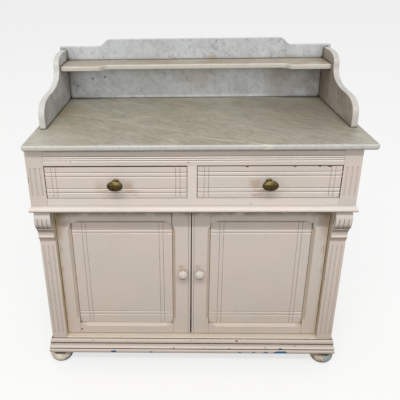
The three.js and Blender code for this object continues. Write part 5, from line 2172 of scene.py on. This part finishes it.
@dataclass
class Drawer(Moving):
    """One drawer: a scratched front with an oval brass knob, and its bare box."""

    kind: ClassVar[str] = "drawer"
    upright: CutLine = field(default_factory=lambda: CutLine(
        half_width=0.0004, depth=0.0018, lip=0.0010, lip_depth=0.0005, shoulder=0.0010, shoulder_depth=0.0005
    ))
    inset: float = 0.020
    chip_drop: float = 0.001
    chip_bite: Point2 = (0.002, 0.003)
    oval: Point3 = (0.0465, 0.0325, 0.0145)
    rose: float = 0.0105
    rose_edge: float = 0.0016
    rose_height: float = 0.004
    rose_crown: float = 0.0084
    stud: float = 0.0025
    stem: float = 0.0052
    stem_flare: float = 0.001
    stem_height: float = 0.004

    @property
    def tints(self) -> tuple[Point4, ...]:
        """Brown patches round the knob: across, up, radius and strength."""
        if self.side is Side.LEFT:
            return (-0.045, -0.016, 0.030, 0.22), (0.035, -0.014, 0.026, 0.45), (0.055, -0.030, 0.02, 0.25)
        return (-0.038, -0.006, 0.026, 0.45), (-0.028, -0.030, 0.03, 0.35), (0.04, -0.02, 0.025, 0.15)

    @property
    def line_heights(self) -> tuple[float, ...]:
        """How high the four level lines lie above the front's lower edge."""
        left, right = (0.0181, 0.0311, 0.0693, 0.0818), (0.0191, 0.0323, 0.0711, 0.0838)
        return left if self.side is Side.LEFT else right

    @property
    def edge_chips(self) -> tuple[Point2, ...]:
        """Chips along the front's upper edge: where, and their half width."""
        right = (0.1493, 0.008), (0.2850, 0.009), (0.3820, 0.014), (0.3560, 0.006)
        return () if self.side is Side.LEFT else right

    @property
    def gaps(self) -> Point4:
        """How far the grime and painted shade of the gaps reach over the front's edges: above, left, right
        and below.
        """
        left, right = (0.0026, 0.0016, 0.0007, 0.0012), (0.0016, 0.0010, 0.0020, 0.0013)
        return left if self.side is Side.LEFT else right

    def build(self) -> None:
        """Builds the front and the knob, and dresses the box."""
        self.front()
        self.knob()
        for part in ("side_inner", "side_outer"):
            keep(f"{self.name}_{part}", BARE[Axis.Y])
        for part in ("back", "bottom"):
            keep(f"{self.name}_{part}", BARE[Axis.X])

    def front(self) -> None:
        """The front board with its crossing pairs of lines."""
        node = f"{self.name}_front"
        low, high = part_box(node)
        piece = block(f"{self.name}_face", (low, high))
        middle_x, middle_z = (low.x + high.x) / 2, (low.z + high.z) / 2
        brown_patches = tuple(
            (Vector((middle_x + x, low.y, middle_z + z)), radius, "96714a", share)
            for x, z, radius, share in self.tints
        )
        dress(piece, PaintFinish(f"{self.name}_paint", Axis.X, spots=brown_patches), WORN[Axis.X], GRIME_AND_SHADE)
        bare(piece, BARE[Axis.X], lambda middle, normal: abs(normal.y) < 0.5)
        soil_edges(piece, low.y, lambda middle, normal: True)
        above, left, right, below = self.gaps
        for radius, wanted in (
            (above, lambda middle, along: middle.z > high.z - WELD),
            (left, lambda middle, along: middle.x < low.x + WELD),
            (right, lambda middle, along: middle.x > high.x - WELD),
            (below, lambda middle, along: middle.z < low.z + WELD),
        ):
            ease(piece, radius, lambda middle, along, chosen=wanted: middle.y < low.y + WELD
                 and chosen(middle, along), 2, 2)
        offsets = (self.inset, self.inset + self.spacing)
        heights = [low.z + height for height in self.line_heights]
        places = [low.x + o for o in offsets] + [high.x - o for o in offsets]
        bare_back(piece, Axis.X)
        self.line.cut(piece, (low, high), Axis.X, heights)
        self.upright.cut(piece, (low, high), Axis.Z, places)
        self.upright.soil(piece, low.y)
        self.line.soil(piece, low.y)
        carve(piece, [
            pit(Vector((x, low.y, high.z - self.chip_drop)), Vector((half, *self.chip_bite)), CHIPPED_EDGE)
            for x, half in self.edge_chips
        ])
        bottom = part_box(f"{self.name}_bottom")
        margin = Vector((FIT, FIT, FIT))
        carve(piece, [block("groove", (bottom[0] - margin, bottom[1] + margin))])
        fit(piece, self.body, Slot.PAINT, node)

    def knob(self) -> None:
        """The oval knob on its round rose."""
        node = f"{self.name}_knob"
        low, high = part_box(node)
        foot = self.knob_foot("front")
        sunk = high.y - foot.y
        width, height, thickness = self.oval
        middle = foot.y - low.y - thickness / 2
        neck, crown = self.stem + self.stem_flare, self.rose_height
        stem = [
            (0.0, -sunk), (self.stud, -sunk), (self.stud, FIT), (self.rose, FIT), (self.rose, self.rose_edge),
            *bend((self.rose, self.rose_edge), (self.rose_crown, crown), (neck, crown), 6)[1:],
            *bend((neck, crown + 0.001), (self.stem, crown + 0.002),
                  (self.stem, crown + self.stem_height), 5)[1:],
            (self.stem, middle), (0.0, middle),
        ]
        piece = turn(f"{self.name}_oval_knob", stem, foot, -Axis.Y.vector, 40)
        profile = arc((0.0, middle), (-height / 2, thickness / 2), -math.pi / 2, math.pi / 2, 24)
        half_section = [(max(radius, 0.0), along) for radius, along in profile]
        head = turn("head", half_section, foot, -Axis.Y.vector, 48)
        with editing(head, whole=True):
            bpy.ops.transform.resize(value=(width / height, 1, 1), center_override=foot)
        pick_up(head, piece)
        bpy.ops.object.join()
        dress(piece, BrassFinish())
        fit(piece, self.body, Slot.BRASS, node)


@dataclass
class Door(Moving):
    """One door: stiles and rails with stopped chamfers round a scratched panel."""

    kind: ClassVar[str] = "door"
    chamfer: float = 0.009
    stop: float = 0.003
    tongue: float = 0.027
    hinge_round: float = 0.0028
    meeting_wear: float = 0.0014
    rub: float = 0.0011
    rub_depth: float = 0.004
    widened: float = 0.0036
    joint: CutLine = field(default_factory=lambda: CutLine(
        half_width=0.0009, depth=0.0016, lip=0.0004, lip_depth=0.0004, shoulder=0.0004, shoulder_depth=0.0004
    ))
    upright: CutLine = field(default_factory=lambda: CutLine(
        half_width=0.0004, depth=0.0015, lip=0.0010, lip_depth=0.0005, shoulder=0.0010, shoulder_depth=0.0005
    ))
    crack: CutLine = field(default_factory=lambda: CutLine(
        half_width=0.0016, shoulder=0.0002, lip=0.0002, lip_depth=0.0003, depth=0.004
    ))
    crack_length: float = 0.1
    chip: tuple[Point2, Point3] = ((-0.3862, 0.1376), (0.0030, 0.0022, 0.0048))
    panel_lines: Point3 = (0.030, 0.0353, 0.0277)
    bead: float = 0.0075
    knob_rim: float = 0.0163
    eased: float = 0.0004

    @property
    def inner_face(self) -> float:
        """Where the panel's back is, in Y, behind which the frame is bare."""
        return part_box(f"{self.name}_panel")[1].y - WELD

    @property
    def opening(self) -> Box:
        """The panel's opening between the stiles and rails, with the door's front and back."""
        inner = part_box(f"{self.name}_meeting_stile")
        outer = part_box(f"{self.name}_hinge_stile")
        if self.side is Side.RIGHT:
            left, right = inner[1].x, outer[0].x
        else:
            left, right = outer[1].x - self.widened, inner[0].x
        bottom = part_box(f"{self.name}_bottom_rail")[1].z
        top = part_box(f"{self.name}_top_rail")[0].z
        return Vector((left, inner[0].y, bottom)), Vector((right, inner[1].y, top))

    def build(self) -> None:
        """Builds the frame, the panel and the knob."""
        self.stiles()
        self.rails()
        self.panel()
        self.knob()

    def chamfers(self) -> list[Object]:
        """Cutters for the four edges of the opening."""
        low, high = self.opening
        middle = (low + high) / 2
        width, height = high.x - low.x, high.z - low.z
        edges = [
            (width, 0.0, Vector((middle.x, low.y, high.z))),
            (width, math.pi, Vector((middle.x, low.y, low.z))),
            (height, math.pi / 2, Vector((high.x, low.y, middle.z))),
            (height, -math.pi / 2, Vector((low.x, low.y, middle.z))),
        ]
        return [self.chamfer_cutter(*edge) for edge in edges]

    def chamfer_cutter(self, length: float, turned: float, place: Vector) -> Object:
        """Cuts a slope of 45 degrees that ends in two curved stops.

        Args:
            length: The edge's length.
            turned: The cutter's turn about Y.
            place: The edge's middle.

        Returns:
            The cutter.
        """
        depth = self.chamfer / math.sqrt(2)
        half = length / 2 - self.stop
        full = half - self.tongue
        right = [(half, -self.chamfer), *ogee((half, 0.0), (full, depth))]
        reach = 2 * self.chamfer
        cutter = prism("chamfer", mirrored(right), Axis.Z, -reach, reach)
        slope = Matrix.Rotation(math.pi / 4, 4, "X")
        cutter.matrix_world = Matrix.Translation(place) @ Matrix.Rotation(turned, 4, "Y") @ slope
        settle(cutter)
        return cutter

    def stained_paint(self) -> PaintFinish:
        """The hinge stile's paint, browned beside the pilaster, with the painted shade under the waist board.
        """
        low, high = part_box(f"{self.name}_hinge_stile")
        outer = low.x if self.side is Side.LEFT else high.x
        washes = (
            (0.02, 0.065, 0.55), (0.055, 0.050, 0.45), (0.10, 0.035, 0.4),
            (0.16, 0.025, 0.3), (0.24, 0.020, 0.3),
        )
        spots = tuple(
            (Vector((outer, low.y, high.z - down)), radius, "927a55", share) for down, radius, share in washes
        )
        return PaintFinish(f"hinge_stile_paint_{self.side.label}", Axis.Z, spots=spots, crown=WAIST_SHADE)

    def stiles(self) -> None:
        """The two upright members."""
        for part in ("hinge_stile", "meeting_stile"):
            node = f"{self.name}_{part}"
            low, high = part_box(node)
            if part == "hinge_stile" and self.side is Side.LEFT:
                high.x = self.opening[0].x
            piece = block(f"{node}_board", (low, high))
            paint = self.stained_paint() if part == "hinge_stile" else self.meeting_paint()
            dress(piece, paint, WORN[Axis.Z], GRIME_AND_SHADE, LIT_OCHRE)
            outer = high.x if (self.side is Side.RIGHT) == (part == "hinge_stile") else low.x
            if part == "hinge_stile":
                # The rounded corner takes the lit copy of the ochre: a painted highlight.
                ease(piece, self.hinge_round, lambda middle, along: abs(along.z) > SQUARE
                     and abs(middle.x - outer) < WELD and middle.y < low.y + WELD, 2, 3)
            ease(piece, self.eased)
            if part == "meeting_stile":
                ease(piece, self.meeting_wear, lambda middle, along: abs(along.z) > SQUARE
                     and abs(middle.x - outer) < WELD, 2, 2)
                soil_edges(piece, low.y, lambda middle, normal: abs(normal.x) > SQUARE
                           and abs(middle.x - outer) < WELD)
                carve(piece, [self.rubbed(outer, low, high)])
            bare(piece, GRIME_AND_SHADE, lambda middle, normal: normal.z < -SQUARE)
            carve(piece, self.chamfers())
            self.tone_chamfers(piece)
            if part == "meeting_stile":
                edge = low.x if self.side is Side.RIGHT else high.x
                self.upright.cut(piece, (low, high), Axis.Z, [edge + self.side.value * self.bead])
            split(piece, self.inner_face)
            bare(piece, BARE[Axis.Z], lambda middle, normal: middle.y > self.inner_face)
            fit(piece, self.body, Slot.PAINT, node)

    def rubbed(self, outer: float, low: Vector, high: Vector) -> Object:
        """A thin wedge, which opens the gap between the doors towards the foot.

        Args:
            outer: The meeting edge, in X.
            low: The stile's lowest corner.
            high: Its highest corner.

        Returns:
            The cutter.
        """
        away, over = -self.side.value, 0.001
        corners = ((away * over, high.z + over), (0.0, high.z + over), (-away * self.rub, low.z - over),
                   (away * over, low.z - over))
        outline = [(outer + x, z) for x, z in corners]
        return dress(prism("wedge", outline, Axis.Y, low.y - over, low.y + self.rub_depth), GRIME_AND_SHADE)

    def meeting_paint(self) -> PaintFinish:
        """The meeting stile's paint, browned round the knob and along its edge, with the painted shade under
        the waist board.
        """
        knob = self.knob_foot("meeting_stile")
        spots = (
            (knob + Vector((0.004, 0, -0.016)), 0.020, "8a6a48", 0.4),
            (knob + Vector((-0.006, 0, 0.018)), 0.014, "8a6a48", 0.3),
            (Vector((0.0219, knob.y, 0.3793)), 0.0018, "4a3a2a", 0.8),
        )
        return PaintFinish(f"meeting_stile_paint_{self.side.label}", Axis.Z, spots=spots, crown=WAIST_SHADE)

    def tone_chamfers(self, piece: Object) -> None:
        """Gives the sloping faces round the panel their own duller paint, which is painted shade by the way
        each one faces.

        Args:
            piece: The stile or rail with its chamfers cut.
        """
        bare(piece, SHADED_PAINT, lambda middle, normal: normal.y < -0.4 and -0.85 < normal.x < -0.5)
        bare(piece, TONED_PAINT, lambda middle, normal: normal.y < -0.4
             and (0.5 < normal.x < 0.85 or 0.5 < normal.z < 0.85))
        bare(piece, SOFFIT_PAINT, lambda middle, normal: normal.y < -0.4 and normal.z < -0.5)

    def rails(self) -> None:
        """The two level members."""
        low, high = self.opening
        for part in ("top_rail", "bottom_rail"):
            node = f"{self.name}_{part}"
            rail_low, rail_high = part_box(node)
            corners = (Vector((low.x + FIT, low.y, rail_low.z)), Vector((high.x - FIT, high.y, rail_high.z)))
            piece = plank(f"{node}_board", corners, Axis.X, self.eased, DOOR_PAINT[Axis.X])
            if part == "bottom_rail":
                bare(piece, GRIME_AND_SHADE, lambda middle, normal: normal.z < -SQUARE)
            if part == "bottom_rail" and self.side is Side.LEFT:
                (x, z), half = self.chip
                carve(piece, [pit(Vector((x, low.y, z)), Vector(half), RED_BROWN_CHIP)])
            carve(piece, self.chamfers())
            self.tone_chamfers(piece)
            if part == "top_rail" and self.side is Side.LEFT:
                start = Vector((high.x - FIT, low.y, rail_low.z))
                carve(piece, [self.crack.cutter(start, Axis.Z, self.crack_length, finish=GRIME_AND_SHADE)])
            split(piece, self.inner_face)
            bare(piece, BARE[Axis.X], lambda middle, normal: middle.y > self.inner_face)
            fit(piece, self.body, Slot.PAINT, node)

    def panel(self) -> None:
        """The panel with its crossing pairs of lines."""
        node = f"{self.name}_panel"
        low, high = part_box(node)
        opening_low, opening_high = self.opening
        corners = (
            Vector((opening_low.x - FIT, low.y, opening_low.z - FIT)),
            Vector((opening_high.x + FIT, high.y, opening_high.z + FIT)),
        )
        piece = plank(f"{node}_board", corners, Axis.Z, 0.0002)
        beside, below, above = self.panel_lines
        heights = [opening_low.z + below + n * self.spacing for n in (0, 1)]
        heights += [opening_high.z - above - n * self.spacing for n in (0, 1)]
        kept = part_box(f"{self.name}_{'hinge' if self.side is Side.LEFT else 'meeting'}_stile")[1].x
        places = [kept + beside + n * self.spacing for n in (0, 1)]
        places += [opening_high.x - beside - n * self.spacing for n in (0, 1)]
        self.line.cut(piece, corners, Axis.X, heights)
        self.upright.cut(piece, corners, Axis.Z, places)
        self.upright.soil(piece, low.y)
        self.line.soil(piece, low.y)
        self.joint.cut(piece, corners, Axis.X, (opening_low.z, opening_high.z), GRIME_AND_SHADE)
        self.joint.cut(piece, corners, Axis.Z, (opening_low.x, opening_high.x), GRIME_AND_SHADE)
        bare_back(piece, Axis.Z)
        fit(piece, self.body, Slot.PAINT, node)

    def knob(self) -> None:
        """The turned mushroom knob."""
        node = f"{self.name}_knob"
        low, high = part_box(node)
        foot = self.knob_foot("meeting_stile")
        tenon, reach = high.y - foot.y, foot.y - low.y
        rim = self.knob_rim
        section = [
            (0.0, -tenon), (0.005, -tenon), (0.005, FIT), (0.0065, FIT), (0.0065, 0.002),
            *bend((0.0065, 0.002), (0.0058, 0.003), (0.0056, 0.006), 5)[1:],
            *bend((0.0056, 0.009), (0.009, 0.017), (rim - 0.0012, 0.0175), 8),
            *bend((rim - 0.0012, 0.0175), (rim, 0.018), (rim, 0.0205), 5)[1:],
            *sweep((rim, 0.0205), (rim, 0.026), (0.009, reach), (0.0, reach), 16)[1:],
        ]
        piece = turn(f"{node}_turned", section, foot, -Axis.Y.vector, 48)
        dress(piece, PAINT[Axis.Y])
        fit(piece, self.body, Slot.PAINT, node)


@dataclass
class Studio:
    """The floor, the lamps and the camera."""

    eye: Point3 = (-0.03791, -1.57548, 1.30043)
    pitch: float = math.radians(23.837)
    yaw: float = math.radians(-1.84)
    roll: float = math.radians(0.925)
    lens: float = 44.667
    shift: Point2 = (0.08357, -0.0398)
    sky: float = 0.56
    key_power: float = 560.0
    key_size: Point2 = (9.0, 0.33)
    key_place: Point3 = (-0.3, -6.1, 8.5)
    fill_power: float = 44.0
    fill_size: Point2 = (3.0, 2.0)
    fill_place: Point3 = (-0.5, -4.6, 1.9)
    floor_white: str = "f3f2f0"
    floor_bounce: str = "a29e99"
    floor_glow: float = 0.7
    floor_size: float = 160.0
    floor_drop: float = 0.0005
    sensor: float = 36.0
    aim: Point3 = (0.0, 0.0, 0.5)

    def build(self) -> None:
        """Sets everything round the object."""
        self.floor()
        self.light()
        self.camera()
        bpy.context.scene.view_settings.view_transform = "Standard"

    def floor(self) -> None:
        """A plain pale floor, which shows near white and keeps the object's shadow."""
        bpy.ops.object.select_all(action="DESELECT")
        bpy.ops.mesh.primitive_plane_add(size=self.floor_size, location=(0, 0, -self.floor_drop))
        floor = bpy.context.object
        floor.name = "floor"
        settle(floor)
        sheet = Sheet("pale_floor", self.floor_bounce)
        nodes = sheet.tree.nodes
        seen = nodes.new("ShaderNodeLightPath").outputs["Is Camera Ray"]
        sheet.coat(self.floor_white, seen)
        floor.data.materials.append(sheet.finish(0.9, Specular_IOR_Level=0.1))
        mix = nodes.new("ShaderNodeMixShader")
        glow = nodes.new("ShaderNodeEmission")
        layers = (sheet.compute("MULTIPLY", seen, self.floor_glow), sheet.shader.outputs[0], glow.outputs[0])
        for layer, socket in zip(layers, mix.inputs):
            sheet.join(layer, socket)
        sheet.join(mix.outputs[0], nodes["Material Output"].inputs["Surface"])

    def light(self) -> None:
        """Soft light from all sides, a lamp up in front, and a weaker one at eye level."""
        world = bpy.data.worlds.new("studio")
        bpy.context.scene.world = world
        world.use_nodes = True
        tree = world.node_tree
        background = tree.nodes["Background"]
        path = tree.nodes.new("ShaderNodeLightPath")
        seen = path.outputs["Is Camera Ray"]
        for ray in ("Is Glossy Ray", "Is Transmission Ray"):
            either = tree.nodes.new("ShaderNodeMath")
            either.operation = "MAXIMUM"
            tree.links.new(seen, either.inputs[0])
            tree.links.new(path.outputs[ray], either.inputs[1])
            seen = either.outputs[0]
        strength = tree.nodes.new("ShaderNodeMapRange")
        strength.inputs["To Min"].default_value = self.sky
        strength.inputs["To Max"].default_value = 1.0
        tree.links.new(seen, strength.inputs["Value"])
        tree.links.new(strength.outputs["Result"], background.inputs["Strength"])
        background.inputs["Color"].default_value = (1, 1, 1, 1)
        self.lamp("key", self.key_place, self.key_size, self.key_power)
        self.lamp("fill", self.fill_place, self.fill_size, self.fill_power)

    def lamp(self, name: str, place: Point3, size: Point2, power: float) -> None:
        """A soft lamp that looks at the object.

        Args:
            name: The lamp's name.
            place: Where it hangs.
            size: How wide and how high it is.
            power: How strong it is.
        """
        data = bpy.data.lights.new(name, "AREA")
        data.shape = "RECTANGLE"
        data.size, data.size_y = size
        data.energy = power
        lamp = bpy.data.objects.new(name, data)
        bpy.context.scene.collection.objects.link(lamp)
        lamp.location = place
        ahead = Vector(self.aim) - lamp.location
        lamp.rotation_euler = ahead.to_track_quat("-Z", "Y").to_euler()

    def camera(self) -> None:
        """The camera that looks as the photograph does."""
        ahead = Vector((
            math.sin(self.yaw) * math.cos(self.pitch),
            math.cos(self.yaw) * math.cos(self.pitch),
            -math.sin(self.pitch),
        ))
        level = ahead.cross(Axis.Z.vector).normalized()
        down = ahead.cross(level)
        right = level * math.cos(self.roll) + down * math.sin(self.roll)
        lower = down * math.cos(self.roll) - level * math.sin(self.roll)
        lens = bpy.data.cameras.new("camera")
        lens.sensor_width = self.sensor
        lens.lens = self.lens
        lens.shift_x, lens.shift_y = self.shift
        camera = bpy.data.objects.new("camera", lens)
        bpy.context.scene.collection.objects.link(camera)
        turned = Matrix((right, -lower, -ahead)).transposed().to_4x4()
        camera.matrix_world = Matrix.Translation(self.eye) @ turned
        bpy.context.scene.camera = camera


def main() -> None:
    """Builds every sub-assembly in order."""
    logging.basicConfig(level=logging.INFO, format="%(name)s: %(message)s")
    Studio().build()
    Carcass().build()
    Plinth().build()
    Feet().build()
    FrontPosts().build()
    WaistMoulding().build()
    DrawerCase().build()
    for side in Side:
        Drawer(side).build()
        Door(side).build()
    MarbleSet().build()


if __name__ == "__main__":
    main()
